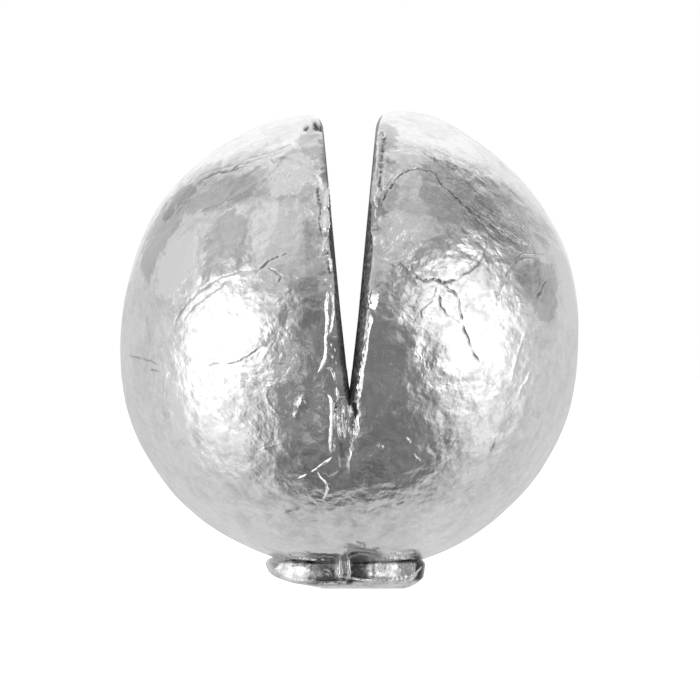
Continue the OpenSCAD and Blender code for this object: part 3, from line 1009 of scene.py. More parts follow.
# Dents of its sheared front wall: columns of the photograph and depths
FOOT_DENT_COLUMNS = (262, 268, 277, 288, 311, 316, 324, 334, 340, 351, 366, 373, 398, 406, 414, 420, 426)
FOOT_DENTS = (
    0.20, 0.20, 0.23, 0.22, 0.0, 0.12, 0.20, 0.22, 0.16, 0.14, 0.08, 0.0, 0.17, 0.135, 0.03, 0.01, 0.0
)
# Painted shade on its front wall, beside the fin and in its right-hand corner, from dark at 1: columns and
# shares
FOOT_SHADE_COLUMNS = (262, 306, 312, 334, 337, 342, 347, 350, 351, 362, 373, 411, 416.5, 426)
FOOT_SHADES = (0.0, 0.0, 0.60, 0.66, 0.2, 0.45, 0.2, 0.3, 0.93, 0.88, 0.0, 0.0, 1.0, 1.0)
# Heights over which come in the dents at the front and the back, the painted shade left and right of a
# column of the photograph, and the painted shade on the neck, with the sides at which that ends and its
# darkness
DENTS_START, BACK_DENTS_START = (0.22, 0.30), (0.30, 0.38)
LEFT_SHADE_START, RIGHT_SHADE_START, SHADE_PARTING = (0.10, 0.14), (0.20, 0.26), 352
NECK_START, NECK_SIDES, NECK_SHADE = (0.68, 0.74), (2.0, 1.5), 0.55
# How far in pixels the painted shade strays, and how uneven the sheared end is, in millimetres
SHADE_STRAY = 7
SHEAR_DEPTH = 0.012
# Its mesh: sides, height and the steps up to it, and rings across its flat end
FOOT_SIDES = 192
FOOT_TOP = 1.10
FOOT_STEP = 0.04
FOOT_INSETS = 14
FOOT_MARKS = {
    "left neck line": (CRACK, 1.0, 0.030, ((291, 561.5), (303, 562.5), (316, 563), (338, 562))),
    "left neck low line": (CRACK, 1.0, 0.030, ((292, 565), (306, 564.5), (312, 566))),
    "left tip line": (CRACK, 1.6, 0.040, ((270, 563.5), (274, 564.5), (279, 565.5))),
    "left facet foot": (CRACK, 2.4, 0.040, ((310, 577), (313, 581), (318, 584))),
    "left curl pit": (PIT, 1.3, 0.030, ((326, 577), (330, 579))),
    "left fin pit": (HOLE, 1.6, 0.030, ((330, 568), (333.4, 572))),
    "right top line": (CRACK, 0.9, 0.030, ((354, 560.6), (370, 560), (384, 561), (400, 561.4), (416, 561))),
}
# Bright burr along the foot's lower front edge and round its neck
FOOT_BURRS = {
    "right burr": (BURR, 0.75, 0.0, ((343, 574.6, 1.2), (347, 576.6, 1.9), (353, 578.6, 2.2),
        (360, 579.6, 1.6), (368, 580, 1.9), (377, 579.8, 1.6), (386, 579.6, 2.2), (395, 579, 1.8),
        (403, 577.6, 2.2), (409, 576.2, 1.5))),
    "right corner burr": (BURR, 0.75, 0.0, ((407, 577.4, 1.2), (412, 575.2, 2.0), (416, 572.4, 1.9),
        (420, 568.6, 1.4), (422, 565.4, 0.8))),
    "left curl": (BURR, 0.75, 0.0, ((322, 569, 0.9), (326, 569.6, 1.3), (330, 572, 1.4), (332, 576, 1.1))),
    "left curl, inner": (BURR, 0.75, 0.0, ((324, 573.6, 0.8), (327.6, 574.2, 1.2), (329, 577.4, 0.8))),
    "left lower lip": (BURR, 0.60, 0.0, ((317, 583.4, 0.9), (323, 583.8, 1.5), (331, 583.2, 1.2),
        (340, 584.2, 0.8))),
    "left facet edge": (BURR, 0.60, 0.0, ((289, 566.4, 0.7), (297, 565, 1.1), (305, 566.4, 1.0),
        (311, 568, 0.8))),
    "left tip blob": (BURR, 0.80, 0.0, ((271.6, 566.6, 1.2), (273.4, 567.2, 2.4), (275.4, 567.8, 1.2))),
    "neck burr": (BURR, 0.80, 0.0, ((384, 558.2, 0.9), (390, 557.8, 1.8), (400, 558.4, 1.6),
        (408, 558.0, 1.9), (416, 558.8, 1.1))),
    "neck upper burr": (BURR, 0.60, 0.0, ((391, 553.8, 0.7), (398, 553.2, 1.1), (406, 553.6, 0.9),
        (414, 553.0, 0.7))),
    "left neck burr": (BURR, 0.70, 0.0, ((291, 558.8, 0.8), (296, 558.0, 1.7), (303, 558.2, 1.5),
        (312, 559.4, 1.2), (318, 559.8, 0.6))),
    "left neck dot": (BURR, 0.70, 0.0, ((321, 559.8, 0.7), (323.4, 559.4, 1.3), (325.6, 559.8, 0.7))),
}


def make_foot():
    """The stub of the gate: sheared off below, chamfered up at its left end, dented at the front."""
    foot = bar(round(FOOT_TOP / FOOT_STEP) + 1, FOOT_STEP, FOOT_SIDES)
    pick_faces(foot, face_centres(foot)[:, 2] < FOOT_STEP * 0.1)
    for _ in range(FOOT_INSETS):
        bpy.ops.mesh.inset(thickness=MM / (FOOT_INSETS + 1), depth=0)
    bpy.ops.mesh.poke()
    bpy.ops.object.mode_set(mode="OBJECT")

    points = points_of(foot)
    turn = np.arctan2(points[:, 1], points[:, 0])
    share = np.hypot(points[:, 0], points[:, 1])
    height = points[:, 2]
    on_wall = fade(0.95, 1.0, share)
    left, right, deep = (np.interp(height, FOOT_HEIGHTS, reaches) for reaches in FOOT_REACHES)
    wide = np.where(np.cos(turn) < 0, left, right)
    power = FOOT_SQUARENESS
    reach = (np.abs(np.cos(turn) / wide) ** power + np.abs(np.sin(turn) / deep) ** power) ** (-1 / power)
    reach *= share
    points = np.stack((reach * np.cos(turn), reach * np.sin(turn), height), axis=1)
    columns, rows = to_pixels(points)
    dent = np.interp(columns, FOOT_DENT_COLUMNS, FOOT_DENTS) * fade(*DENTS_START, height) * on_wall
    back_dent = 0.05 + 0.07 * lumps(points * (1, 0, 0.3), width=0.8, seed=21, depth=2)
    back_dent *= fade(*BACK_DENTS_START, height) * on_wall
    points[:, 1] += np.where(points[:, 1] < 0, dent, -back_dent)
    marks, painted_shade = mark_heights(columns, rows, FOOT_MARKS)
    front = fade(-0.25, -0.5, np.sin(turn)) * on_wall
    rough = lumps(points, width=0.35, seed=23) * 0.020 + lumps(points, width=0.1, seed=24, depth=2) * 0.006
    points += unit(points * (1, 1, 0)) * (marks * front + rough * on_wall)[:, None]
    under = fade(0.02, 0.0, height) * (share < 0.999)
    points[:, 2] += under * SHEAR_DEPTH * (1 + lumps(points * (0.35, 1, 1), width=0.4, seed=25))
    points[:, 2] = np.maximum(points[:, 2], 0)
    set_points(foot, points)
    neck = fade(*NECK_START, height) * fade(*NECK_SIDES, np.abs(points[:, 0]))
    strayed = columns + SHADE_STRAY * lumps(points, width=0.12, seed=26)
    foot_shade = np.interp(strayed, FOOT_SHADE_COLUMNS, FOOT_SHADES)
    foot_shade *= np.where(
        columns < SHADE_PARTING, fade(*LEFT_SHADE_START, height), fade(*RIGHT_SHADE_START, height)
    )
    # Painted shade: on the front wall beside the fin and in its corner, in the marks' creases, and on the
    # neck
    add_values(foot, "painted_shade", np.clip(np.maximum(painted_shade, foot_shade) * front + NECK_SHADE * neck, 0, 1))
    smooth_by_angle(foot, 40)
    bpy.context.view_layer.update()
    skins = foot, bpy.data.objects["left_half_skin"], bpy.data.objects["right_half_skin"]
    return join([foot, *make_beads(FOOT_BURRS, skins, 91, (1,))], "gate_foot")


class SHOT_OT_gate_foot(bpy.types.Operator):
    """Model the sheared stub of the gate, on which the shot stands"""

    bl_idname = "shot.gate_foot"
    bl_label = "Gate Foot"

    def execute(self, context):
        foot = make_foot()
        foot.data.materials.append(sheared_lead())
        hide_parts("gate_stub")
        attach(foot, "web")
        return {"FINISHED"}


# The parting fin on the foot's front and back walls: its edges in the photograph, the depths of its
# face and of its end inside the foot, the rim round its hollow face, the hollow, and its worn edges
FIN_COLUMNS = (338.5, 350.5)
FIN_ROWS = (577.5, 556)
FIN_DEPTH, FIN_ROOT = 1.80, 1.2
FIN_RIM, FIN_SLOPE, FIN_HOLLOW = 0.075, 0.03, 0.07
FIN_EDGE = 0.02
# How far it wanders along X, Y and Z, and the painted shade in its hollow, with the sides where that ends
FIN_WANDER = 0.035, 0.03, 0.02
FIN_SHADE, FIN_SHADE_SIDES = 0.45, (0.10, 0.05)
# The low seam that runs up the ball from it: its line and half width in pixels, and its height as a
# share of its half width
SEAM_LINE = ((346, 492), (345, 504), (343.5, 516), (343, 528), (343.5, 540), (344.5, 552))
SEAM_HALF = 0.9
SEAM_STAND = 0.25
# Metal drawn up along the groove under the root, as beads
GROOVE_BEADS = {
    "left wall": (ROOF, 0.90, 0.3, ((327.6, 394, 0.8), (330.4, 399, 1.4), (331.8, 407, 1.6),
        (331.6, 416, 1.8), (331.2, 424, 1.5), (330.6, 433, 1.4), (330.0, 441, 1.6), (330.2, 448, 1.4),
        (331.0, 454, 0.8))),
    "right wall": (ROOF, 0.90, -0.3, ((358.4, 414, 1.0), (357.4, 421, 1.6), (357.8, 428, 1.9),
        (356.2, 435, 1.8), (353.8, 442, 1.5), (350.8, 446, 1.1))),
    "right wall, low": (ROOF, 0.80, -0.2, ((352.0, 444, 0.8), (349.8, 449, 1.2), (351.2, 455, 0.9),
        (349.0, 461, 1.1), (347.4, 467, 0.6))),
    "right streak": (ROOF, 0.80, -0.2, ((348.4, 426, 0.9), (350.2, 432, 1.6), (352.2, 439, 1.2))),
    "root branch": (ROOF, 0.90, 0.3, ((332.0, 456, 0.9), (328.6, 460, 1.4), (322, 465, 1.5),
        (316, 469, 1.3), (311, 472, 0.9))),
    "root branch, end": (ROOF, 0.90, 0.3, ((307.6, 473.6, 0.7), (303, 476, 1.2), (298, 478.4, 0.8))),
    "root hook": (ROOF, 0.90, 0.3, ((317.4, 472, 0.7), (320, 477, 1.0), (325, 481.5, 1.2),
        (327.4, 489, 1.6), (326, 495, 1.5), (323, 500, 0.8))),
    "tongue foot": (ROOF, 0.80, 0.0, ((337.6, 423, 1.0), (339.0, 430, 2.2), (341, 437, 1.2))),
    "tongue foot, right": (ROOF, 0.80, 0.0, ((343.2, 425, 0.8), (344.4, 431, 1.5), (345.6, 437, 0.9))),
    "tongue one": (ROOF, 0.42, 0.0, ((338.0, 407, 0.9), (337.6, 418, 2.0), (339.0, 431, 3.0),
        (340.6, 441, 1.4))),
    "tongue two": (ROOF, 0.42, 0.0, ((343.4, 405, 0.9), (343.4, 416, 2.0), (344.4, 429, 2.6),
        (345, 439, 1.2))),
    "tongue four": (ROOF, 0.34, 0.0, ((347.0, 404.6, 1.0), (348.2, 412, 1.4), (347.6, 423, 1.8),
        (347, 432, 1.2))),
    "tongue crown": (ROOF, 0.30, 0.0, ((339.6, 406.6, 0.6), (344.6, 403.6, 1.0), (349.6, 405.4, 0.6))),
    "low streak": (ROOF, 0.40, 0.0, ((338.4, 455, 0.7), (339.8, 461, 1.2), (340.2, 468, 0.6))),
}


def make_fin(side):
    """One upright fin, thin at its edges and hollow down its middle."""
    deselect_all()
    left, _, low = from_pixels(FIN_COLUMNS[0], FIN_ROWS[0], -FIN_DEPTH)
    right, _, high = from_pixels(FIN_COLUMNS[1], FIN_ROWS[1], -FIN_DEPTH)
    middle = (left + right) / 2
    bpy.ops.mesh.primitive_cube_add(
        size=MM, location=(middle * MM, side * (FIN_DEPTH + FIN_ROOT) / 2 * MM, (low + high) / 2 * MM),
        scale=(right - left, FIN_DEPTH - FIN_ROOT, high - low),
    )
    fin = settle(bpy.context.object)
    pick_faces(fin, face_centres(fin)[:, 1] * side > FIN_DEPTH * 0.98)
    bpy.ops.mesh.inset(thickness=FIN_RIM * MM, depth=0)
    bpy.ops.mesh.inset(thickness=FIN_SLOPE * MM, depth=-FIN_HOLLOW * MM)
    bpy.ops.mesh.select_all(action="SELECT")
    bpy.ops.mesh.bevel(offset=FIN_EDGE * MM, segments=2, affect="EDGES")
    bpy.ops.mesh.select_all(action="SELECT")
    bpy.ops.mesh.subdivide(number_cuts=3)
    bpy.ops.object.mode_set(mode="OBJECT")
    points = points_of(fin)
    wander = np.stack([lumps(points, width=0.3, seed=first + side) for first in (31, 33, 35)], axis=1)
    set_points(fin, points + wander * FIN_WANDER)
    # Painted shade in the fin's hollow
    add_values(fin, "painted_shade", FIN_SHADE * fade(*FIN_SHADE_SIDES, np.abs(points[:, 0] - middle)))
    return fin


def make_seams():
    """The seam down the parting line, at the front and at the back."""
    places = []
    for column, row in SEAM_LINE:
        x, _, z = from_pixels(column, row, -4.5)
        places.append((x, -math.sqrt(BELT_R ** 2 - (z - ball_z()) ** 2 - x ** 2), z))
    halves = np.full(len(places), SEAM_HALF * PIXEL)
    return [
        bead_along(np.array(places) * (1, flip, 1), halves, seed, ROOF, SEAM_STAND)
        for flip, seed in ((1, 37), (-1, 38))
    ]


class SHOT_OT_parting_fin(bpy.types.Operator):
    """Model the fin that the mould's parting line left on the foot, the seam above it and the metal
    drawn up along the groove under the slot's root"""

    bl_idname = "shot.parting_fin"
    bl_label = "Parting Fin"

    def execute(self, context):
        skins = bpy.data.objects["left_half_skin"], bpy.data.objects["right_half_skin"]
        pieces = [make_fin(-1), make_fin(1), *make_seams(), *make_beads(GROOVE_BEADS, skins, 131)]
        fin = join(pieces, "parting_fin")
        smooth_by_angle(fin, 45)
        fin.data.materials.append(flash_lead())
        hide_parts("parting_fins")
        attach(fin, "web")
        return {"FINISHED"}


# Materials

class Wire:
    """What a node gives out. Sums, differences and products of it add the nodes that work them out."""

    def __init__(self, nodes, socket):
        self.nodes = nodes
        self.socket = socket

    def __add__(self, other):
        return self.nodes.math("ADD", self, other)

    def __sub__(self, other):
        return self.nodes.math("SUBTRACT", self, other)

    def __rsub__(self, other):
        return self.nodes.math("SUBTRACT", other, self)

    def __mul__(self, other):
        return self.nodes.math("MULTIPLY", self, other)


class Nodes:
    """The node tree of a material or a world, started empty."""

    def __init__(self, owner):
        owner.use_nodes = True
        self.tree = owner.node_tree
        self.tree.nodes.clear()

    def add(self, kind, inputs, output=0, **settings):
        """Adds a node, sets or links its inputs, and gives one of its outputs."""
        node = self.tree.nodes.new(kind)
        for key, value in settings.items():
            setattr(node, key, value)
        for key, value in inputs.items():
            if isinstance(value, Wire):
                self.tree.links.new(value.socket, node.inputs[key])
            else:
                node.inputs[key].default_value = value
        return Wire(self, node.outputs[output]) if len(node.outputs) else None

    def noise(self, where, scale, detail, roughness=0.5, distortion=0.0):
        return self.add("ShaderNodeTexNoise", {
            "Vector": where, "Scale": scale, "Detail": detail, "Roughness": roughness,
            "Distortion": distortion,
        }, "Fac")

    def ramp(self, value, low, high, to_low=0.0, to_high=1.0):
        return self.add("ShaderNodeMapRange", {
            "Value": value, "From Min": low, "From Max": high, "To Min": to_low, "To Max": to_high,
        }, "Result", interpolation_type="SMOOTHSTEP", clamp=True)

    def math(self, operation, a, b=0.0):
        return self.add("ShaderNodeMath", {0: a, 1: b}, operation=operation)

    def mix(self, share, a, b):
        """Mixes colours from a to b."""
        a, b = (value if isinstance(value, Wire) else (*value, 1.0) for value in (a, b))
        return self.add("ShaderNodeMix", {0: share, 6: a, 7: b}, 2, data_type="RGBA")

    def value(self, name):
        return self.add("ShaderNodeAttribute", {}, "Fac", attribute_name=name)

    def parts(self, where):
        return [self.add("ShaderNodeSeparateXYZ", {0: where}, axis) for axis in "XYZ"]

    def millimetres(self):
        """The piece's own coordinates, in millimetres."""
        place = self.add("ShaderNodeTexCoord", {}, "Object")
        return self.add("ShaderNodeVectorMath", {0: place, 1: (1 / MM,) * 3}, operation="MULTIPLY")

    def metal(self, colour, roughness, relief, height):
        """Ends a material as bare metal, with relief of the given height in metres."""
        normal = self.add("ShaderNodeBump", {"Strength": 1.0, "Distance": height, "Height": relief})
        shader = self.add("ShaderNodeBsdfPrincipled", {
            "Base Color": colour, "Metallic": 1.0, "Roughness": roughness, "Normal": normal,
        })
        self.add("ShaderNodeOutputMaterial", {"Surface": shader})


# Noise on the cast skin: its scale for each millimetre, detail, roughness and distortion, and the
# levels between which it comes in
SKIN_NOISE = {
    "patches": ((0.85, 6, 0.62, 0.5), (0.47, 0.55)),
    "small patches": ((2.6, 5, 0.65, 0.3), (0.50, 0.57)),
    "mottle": ((5.5, 3, 0.6, 0.0), (0.40, 0.60)),
    "speckle": ((13.0, 2, 0.6, 0.0), (0.36, 0.64)),
    "rough patches": ((1.3, 4, 0.6, 0.4), (0.44, 0.62)),
    "slot grit": ((9.0, 3, 0.6, 0.0), (0.40, 0.66, 0.6, 1.5)),
}
# The bloom that some of it brings, and that of the streaks, and how much of it a pale patch takes away
BLOOM = {"patches": 0.26, "small patches": 0.26, "mottle": 0.23, "speckle": 0.05}
STREAK_BLOOM, PALE_CLEARS = 0.40, 0.95
# How far the tarnish and painted shade of a dull patch, and the painted shade of a dark patch, darken the
# lead, and the noise that frays the edges of patches
DULL_TARNISH_AND_SHADE, DARK_PATCH_SHADE = 0.42, 0.78
FRAY, FRAY_REACH, PATCH_EDGE = (2.2, 6, 0.72, 0.4), 2.0, (0.42, 0.58)
# What bloom, rough patches and the slot's wall add to the roughness
BLOOM_ROUGH, PATCH_ROUGH, WALL_ROUGH = 0.10, 0.06, 0.25
# Relief of the cast skin: its full height in metres, with scale, detail and roughness of its noises,
# and their shares in it, with what a rough patch adds to the grain and what a crumpled one adds to all
SKIN_RELIEF = 0.000030
COARSE, GRAIN, FINE = (2.0, 3, 0.42), (4.6, 1, 0.40), (13.0, 2, 0.5)
COARSE_SHARE, GRAIN_SHARE, GRAIN_IN_PATCH, FINE_SHARE, STREAK_SHARE = 2.3, 0.22, 0.32, 0.03, 0.45
CRUMPLE = 0.9
# The skin is calmest, at half, by the ball's edge: depths along Y between which it turns lively
LIVELY = 2.0, 4.8, 0.5, 1.0
# Direction in which the streaks run down each shoulder, their width as a share of their length, and
# their noise with its levels
STREAK_ASIDE, STREAK_DOWN, STREAK_SQUEEZE = 0.80, 0.60, 0.20
STREAKS, STREAK_LEVELS = (5.5, 4, 0.65, 0.5), (0.42, 0.60)


def cast_lead():
    """The ball's skin: bright lead with crisp-edged patches of bloom and of painted shade, faint pits, and
    painted shade in its creases and on the slot's wall and flare.
    """
    if "cast_lead_skin" in bpy.data.materials:
        return bpy.data.materials["cast_lead_skin"]
    finish = bpy.context.scene.shot_finish
    material = bpy.data.materials.new("cast_lead_skin")
    n = Nodes(material)
    mm = n.millimetres()
    x, y, z = n.parts(mm)
    aside = n.math("ABSOLUTE", x)
    down = aside * STREAK_ASIDE - z * STREAK_DOWN
    up = aside * STREAK_DOWN + z * STREAK_ASIDE
    fibre = n.add("ShaderNodeCombineXYZ", {0: down * STREAK_SQUEEZE, 1: up})
    streaks = n.ramp(n.noise(fibre, *STREAKS), *STREAK_LEVELS) * n.ramp(n.value("streaked"), 0.1, 0.9)
    lively = n.ramp(n.math("ABSOLUTE", y), *LIVELY)
    skin = {name: n.ramp(n.noise(mm, *look), *levels) for name, (look, levels) in SKIN_NOISE.items()}
    cloudy = skin["patches"] * BLOOM["patches"]
    for name in ("small patches", "mottle", "speckle"):
        cloudy += skin[name] * BLOOM[name]
    cloudy = cloudy * lively + streaks * STREAK_BLOOM
    fray = (n.noise(mm, *FRAY) - 0.5) * FRAY_REACH
    pale, dull, dark = (n.ramp(n.value(name) + fray, *PATCH_EDGE) for name in ("pale", "dull", "dark"))
    cloudy *= 1.0 - pale * PALE_CLEARS
    # The slot's wall and flare get darker lead: painted shade inside the slot
    wall = n.value("slot_wall_shade")
    flare = n.add("ShaderNodeVectorMath", {0: finish.flare, "Scale": skin["slot grit"]}, operation="SCALE")
    colour = n.mix(cloudy, finish.bright, finish.dull)
    # Painted shade: the dark patches, the dull patches named shade, hollow or notch, the slot's wall and
    # flare, and the marks' creases, cracks, pits and holes
    for share, lead in (
        (dull * DULL_TARNISH_AND_SHADE, finish.tarnish_and_shade), (dark * DARK_PATCH_SHADE, finish.tarnish_and_shade),
        (wall, finish.wall), (n.value("slot_flare_shade"), flare), (n.value("painted_shade"), finish.dark),
    ):
        colour = n.mix(share, colour, lead)
    rough_patch = skin["rough patches"]
    rough = cloudy * BLOOM_ROUGH + finish.roughness + rough_patch * PATCH_ROUGH + wall * WALL_ROUGH
    relief = n.noise(mm, *GRAIN) * (rough_patch * GRAIN_IN_PATCH + GRAIN_SHARE)
    relief = relief + n.noise(mm, *FINE) * FINE_SHARE + n.noise(mm, *COARSE) * COARSE_SHARE
    relief = relief * lively * (n.value("crumpled") * CRUMPLE + 1.0)
    n.metal(colour, rough, relief + streaks * STREAK_SHARE, SKIN_RELIEF)
    return material


def bare_lead(name, bright, dull, roughness, relief_scale, relief_height):
    """Lead with little bloom, as on the flash and the sheared foot, darkened where a piece carries painted
    shade.
    """
    if name in bpy.data.materials:
        return bpy.data.materials[name]
    material = bpy.data.materials.new(name)
    n = Nodes(material)
    mm = n.millimetres()
    mottle = n.ramp(n.noise(mm, 4.0, 4, 0.6), 0.36, 0.66)
    colour = n.mix(n.value("painted_shade"), n.mix(mottle, bright, dull), bpy.context.scene.shot_finish.dark)
    n.metal(colour, mottle * 0.16 + roughness, n.noise(mm, relief_scale, 3, 0.55), relief_height)
    return material


def sheared_lead():
    """The gate foot's lead: torn and sheared, with painted shade on its dented front wall and its neck."""
    return bare_lead("sheared_lead_skin", (0.90, 0.90, 0.905), (0.60, 0.60, 0.605), 0.28, 7.0, 0.00003)


def flash_lead():
    """The flash's lead: thin, bright and wrinkled."""
    return bare_lead("flash_lead_skin", (0.98, 0.98, 0.98), (0.80, 0.80, 0.805), 0.20, 12.0, 0.000012)


# The stage

# The room's light by direction, as seen from the shot: in front, low and high, and behind, with the
# parts of a direction over which one turns into the other. The clutter is how far the blotches in front
# stray from that, and the noise that they follow, with its levels
FRONT_LOW = 0.207
FRONT_HIGH = 0.53
ROOM_BEHIND = 0.685
FRONT_RISE, BACK_START = (0.28, 0.44), (-0.16, -0.02)
ROOM_CLUTTER = 0.42
CLUTTER, CLUTTER_LEVELS = (7.0, 5, 0.7, 0.6), (0.38, 0.62)
# Each lamp or screen: the pixel of the ball in which its middle shows, the half angles in degrees
# inside which it is full and outside which it is gone, and its brightness
LAMPS = {
    "left softbox": ((232, 350), 19, 33, 1.2),
    "left softbox, high end": ((234, 291), 8, 20, 0.45),
    "left softbox, low end": ((234, 420), 8, 27, 0.60),
    "left softbox, inner edge": ((272, 322), 5, 13, 0.50),
    "left softbox, upper inner edge": ((291, 304), 3, 7, 1.05),
    "left softbox, lower inner edge": ((313, 357), 3, 9, 0.60),
    "left softbox, gap": ((279, 340), 2, 7, 0.40),
    "left spill": ((262, 345), 14, 40, 0.10),
    "right softbox": ((466, 330), 19, 32, 1.2),
    "right softbox, low end": ((480, 408), 8, 24, 0.6),
    "right softbox, inner edge": ((402, 304), 4, 8, 1.45),
    "right softbox, inner top edge": ((418, 298), 5, 11, 0.70),
    "right softbox, upper edge": ((434, 272), 3, 10, 0.35),
    "right softbox, lower inner edge": ((448, 404), 8, 18, 0.30),
    "right softbox, side edge": ((426, 358), 2, 6, 1.0),
    "right spill": ((436, 325), 14, 40, 0.10),
    "screen over the back": ((350, 119), 26, 34, 0.38),
    "window at the upper left": ((254, 217), 8, 27, 0.16),
    "gap at the upper right": ((492, 230), 8, 27, -0.42),
    "left softbox, low corner": ((260, 448), 3, 10, 0.36),
    "left softbox, low edge": ((265, 427), 3, 8, 0.18),
    "left softbox, lower edge": ((252, 409), 3, 8, 0.25),
    "left softbox, side": ((248, 390), 2, 6, 0.50),
    "lamp low at the left": ((328, 416), 3, 7, 0.90),
    "lamp by the table's left end": ((292, 460), 4, 10, 0.10),
    "lamp by the table's right end": ((455, 447), 4, 9, 0.18),
    "lamp under the table's right end": ((441, 465), 3, 8, 0.18),
    "lamp over the table": ((391, 461), 4, 9, 0.10),
    "right softbox, lower edge": ((421, 396), 3, 8, 0.32),
    "right softbox, top edge": ((436, 272), 3, 8, 0.22),
    "window at the right, lower": ((474, 255), 5, 14, 0.12),
    "window at the left": ((280, 247), 7, 20, 0.08),
    "window at the right": ((392, 258), 7, 22, 0.07),
    "glow from the floor behind": ((350, 562), 14, 40, 0.03),
}
# Dark things, which darken what they cover: the same numbers, with a share
SHADES = {
    "table edge, far left": ((304, 476), 8, 12, 0.40),
    "table edge, left": ((328, 482), 9, 13, 0.60),
    "table edge, corner": ((350, 495), 4, 8, 0.80),
    "table edge, middle": ((366, 478), 9, 12, 0.54),
    "table edge, right": ((402, 470), 8, 11, 0.44),
    "table edge, far right": ((427, 468), 4, 9, 0.40),
    "stand by the left softbox": ((255, 391), 5, 10, 0.80),
    "stand by the right softbox": ((435, 291), 4, 9, 0.70),
    "stand before the right softbox": ((397, 381), 5, 10, 0.58),
    "stand beside the right softbox": ((386, 284), 6, 13, 0.36),
    "beam over the right softbox": ((450, 241), 6, 14, 0.14),
    "beam at the upper right": ((506, 192), 5, 14, 0.12),
    "beam at the far right": ((528, 206), 4, 12, 0.15),
    "right curtain": ((506, 319), 4, 12, 0.24),
    "right side of the table": ((475, 431), 4, 10, 0.14),
    "left curtain": ((304, 338), 4, 9, 0.48),
    "left curtain, upper half": ((310, 308), 3, 9, 0.40),
    "beam over the left softbox": ((259, 287), 4, 10, 0.35),
    "right low curtain": ((512, 402), 12, 30, 0.06),
    "leg of that stand": ((376, 334), 4, 10, 0.34),
    "knob of that stand": ((404, 362), 3, 8, 0.82),
    "screen by the right softbox": ((386, 313), 3, 7, 0.65),
    "foot of the right softbox": ((424, 446), 5, 11, 0.50),
    "foot of the left softbox": ((296, 371), 3, 8, 0.45),
    "floor cable": ((405, 507), 4, 10, 0.18),
    "floor shade": ((333, 528), 8, 20, 0.14),
}
# A long lamp overhead, in the plane of the slot: its half width, where it starts above the horizon and
# where it ends behind, as parts of a direction, how softly it ends, and its brightness
STRIP_HALF, STRIP_EDGE = 0.015, 0.045
STRIP_LOW, STRIP_BACK, STRIP_FADE = 0.70, 0.30, 0.06
STRIP_LEVEL = 1.5
# The floor, and a card just over it in front of the foot, which lights the foot's lower edge: their
# left, right, near and far edges in millimetres, their glow, the floor's grey and the card's height
FLOOR = -1000, 1000, -1000, 1000
FLOOR_GREY, FLOOR_GLOW = 0.5, 0.9
FOOT_CARD = -2.2, 2.2, -3.2, -1.3
CARD_LIFT, CARD_GLOW = 0.0001, 0.62


def way_seen_at(column, row):
    """The direction that a mirror ball would show at a pixel."""
    across = (column - MIDDLE_COLUMN) * PIXEL / BELT_R
    up = ((FOOT_ROW - row) * PIXEL - ball_z()) / BELT_R
    toward = math.sqrt(1 - across ** 2 - up ** 2)
    return 2 * toward * across, 1 - 2 * toward ** 2, 2 * toward * up


def studio_light():
    """A soft studio: a pale room behind and above, a softbox at each side, and dark at the camera."""
    world = bpy.data.worlds.new("studio")
    bpy.context.scene.world = world
    n = Nodes(world)
    way = n.add("ShaderNodeTexCoord", {}, "Generated")
    x, y, z = n.parts(way)
    clutter = n.ramp(n.noise(way, *CLUTTER), *CLUTTER_LEVELS, 1 - ROOM_CLUTTER, 1 + ROOM_CLUTTER)
    front = (n.ramp(z, *FRONT_RISE) * (FRONT_HIGH - FRONT_LOW) + FRONT_LOW) * clutter
    total = front + n.ramp(y, *BACK_START) * (ROOM_BEHIND - front)
    strip = n.ramp(n.math("ABSOLUTE", x), STRIP_EDGE, STRIP_HALF)
    strip *= n.ramp(z, STRIP_LOW, STRIP_LOW + STRIP_FADE)
    strip *= n.ramp(y, STRIP_BACK, STRIP_BACK - STRIP_FADE)
    total += strip * STRIP_LEVEL

    def seen(pixel, full, gone, level):
        """The level that a lamp or a dark thing has in each direction."""
        toward = way_seen_at(*pixel)
        facing = n.add("ShaderNodeVectorMath", {0: way, 1: toward}, "Value", operation="DOT_PRODUCT")
        return n.ramp(facing, math.cos(math.radians(gone)), math.cos(math.radians(full)), 0.0, level)

    for lamp in LAMPS.values():
        total += seen(*lamp)
    shade = 0.0
    for thing in SHADES.values():
        shade = n.math("MAXIMUM", shade, seen(*thing))
    total *= 1.0 - shade
    grey = n.add("ShaderNodeCombineColor", {0: total, 1: total, 2: total})
    colour = n.mix(n.add("ShaderNodeLightPath", {}, "Is Camera Ray"), grey, (1.0, 1.0, 1.0))
    back = n.add("ShaderNodeBackground", {"Color": colour, "Strength": 1.0})
    n.add("ShaderNodeOutputWorld", {"Surface": back})


def sheet(name, edges, height, grey, glow):
    """A flat glowing sheet between its left, right, near and far edges. It lights nothing dull."""
    left, right, near, far = edges
    middle = (left + right) / 2 * MM, (near + far) / 2 * MM, height * MM
    deselect_all()
    bpy.ops.mesh.primitive_plane_add(size=MM, location=middle)
    bpy.ops.transform.resize(value=(right - left, far - near, 1))
    obj = named(settle(bpy.context.object), name)
    material = bpy.data.materials.new(name + "_white")
    n = Nodes(material)
    pale = n.add("ShaderNodeBsdfDiffuse", {"Color": (grey, grey, grey, 1)})
    lit = n.add("ShaderNodeEmission", {"Color": (1, 1, 1, 1), "Strength": glow})
    n.add("ShaderNodeOutputMaterial", {"Surface": n.add("ShaderNodeAddShader", {0: pale, 1: lit})})
    obj.data.materials.append(material)
    obj.visible_diffuse = False
    return obj


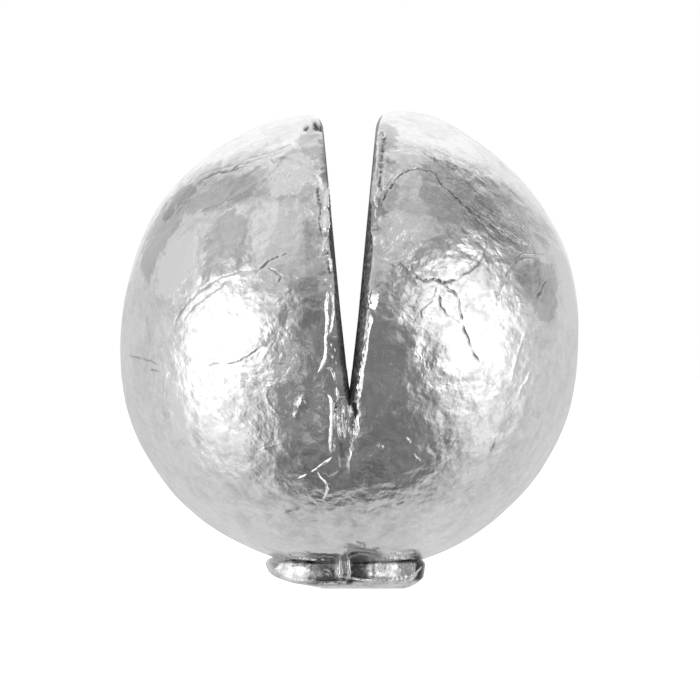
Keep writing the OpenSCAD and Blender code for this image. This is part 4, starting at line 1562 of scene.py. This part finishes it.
class SHOT_OT_stage(bpy.types.Operator):
    """Set up the pale floor, the studio light and the camera"""

    bl_idname = "shot.stage"
    bl_label = "Stage"

    def execute(self, context):
        floor = sheet("floor", FLOOR, 0, FLOOR_GREY, FLOOR_GLOW)
        floor.visible_glossy = False
        card = sheet("foot_card", FOOT_CARD, CARD_LIFT, 0, CARD_GLOW)
        card.visible_camera = False
        studio_light()
        bpy.ops.object.camera_add(location=Vector(camera_place()) * MM, rotation=(math.pi / 2, 0, 0))
        camera = bpy.context.object
        camera.data.lens = context.scene.shot_stage.lens
        camera.data.sensor_width = context.scene.shot_stage.sensor
        camera.data.clip_start = 0.001
        camera.data.clip_end = 10.0
        context.scene.camera = camera
        context.scene.view_settings.view_transform = "Standard"
        return {"FINISHED"}


class SHOT_PT_panel(bpy.types.Panel):
    """Sizes, finish and build steps of the split shot"""

    bl_idname = "SHOT_PT_panel"
    bl_label = "Split Shot"
    bl_space_type = "VIEW_3D"
    bl_region_type = "UI"
    bl_category = "Split Shot"

    def draw(self, context):
        layout = self.layout
        for group in (context.scene.shot_sizes, context.scene.shot_finish, context.scene.shot_stage):
            box = layout.box()
            for key in group.__annotations__:
                box.prop(group, key)
        for step in STEPS:
            layout.operator(step.bl_idname)


GROUPS = {"shot_sizes": SHOT_PG_sizes, "shot_finish": SHOT_PG_finish, "shot_stage": SHOT_PG_stage}
STEPS = (SHOT_OT_ball_halves, SHOT_OT_slot_flash, SHOT_OT_gate_foot, SHOT_OT_parting_fin, SHOT_OT_stage)


def register():
    for cls in (*GROUPS.values(), *STEPS, SHOT_PT_panel):
        bpy.utils.register_class(cls)
    for name, group in GROUPS.items():
        setattr(bpy.types.Scene, name, PointerProperty(type=group))


def unregister():
    for name in GROUPS:
        delattr(bpy.types.Scene, name)
    for cls in reversed((*GROUPS.values(), *STEPS, SHOT_PT_panel)):
        bpy.utils.unregister_class(cls)


def main():
    register()
    bpy.ops.shot.ball_halves()
    bpy.ops.shot.slot_flash()
    bpy.ops.shot.gate_foot()
    bpy.ops.shot.parting_fin()
    bpy.ops.shot.stage()


if __name__ == "__main__":
    main()
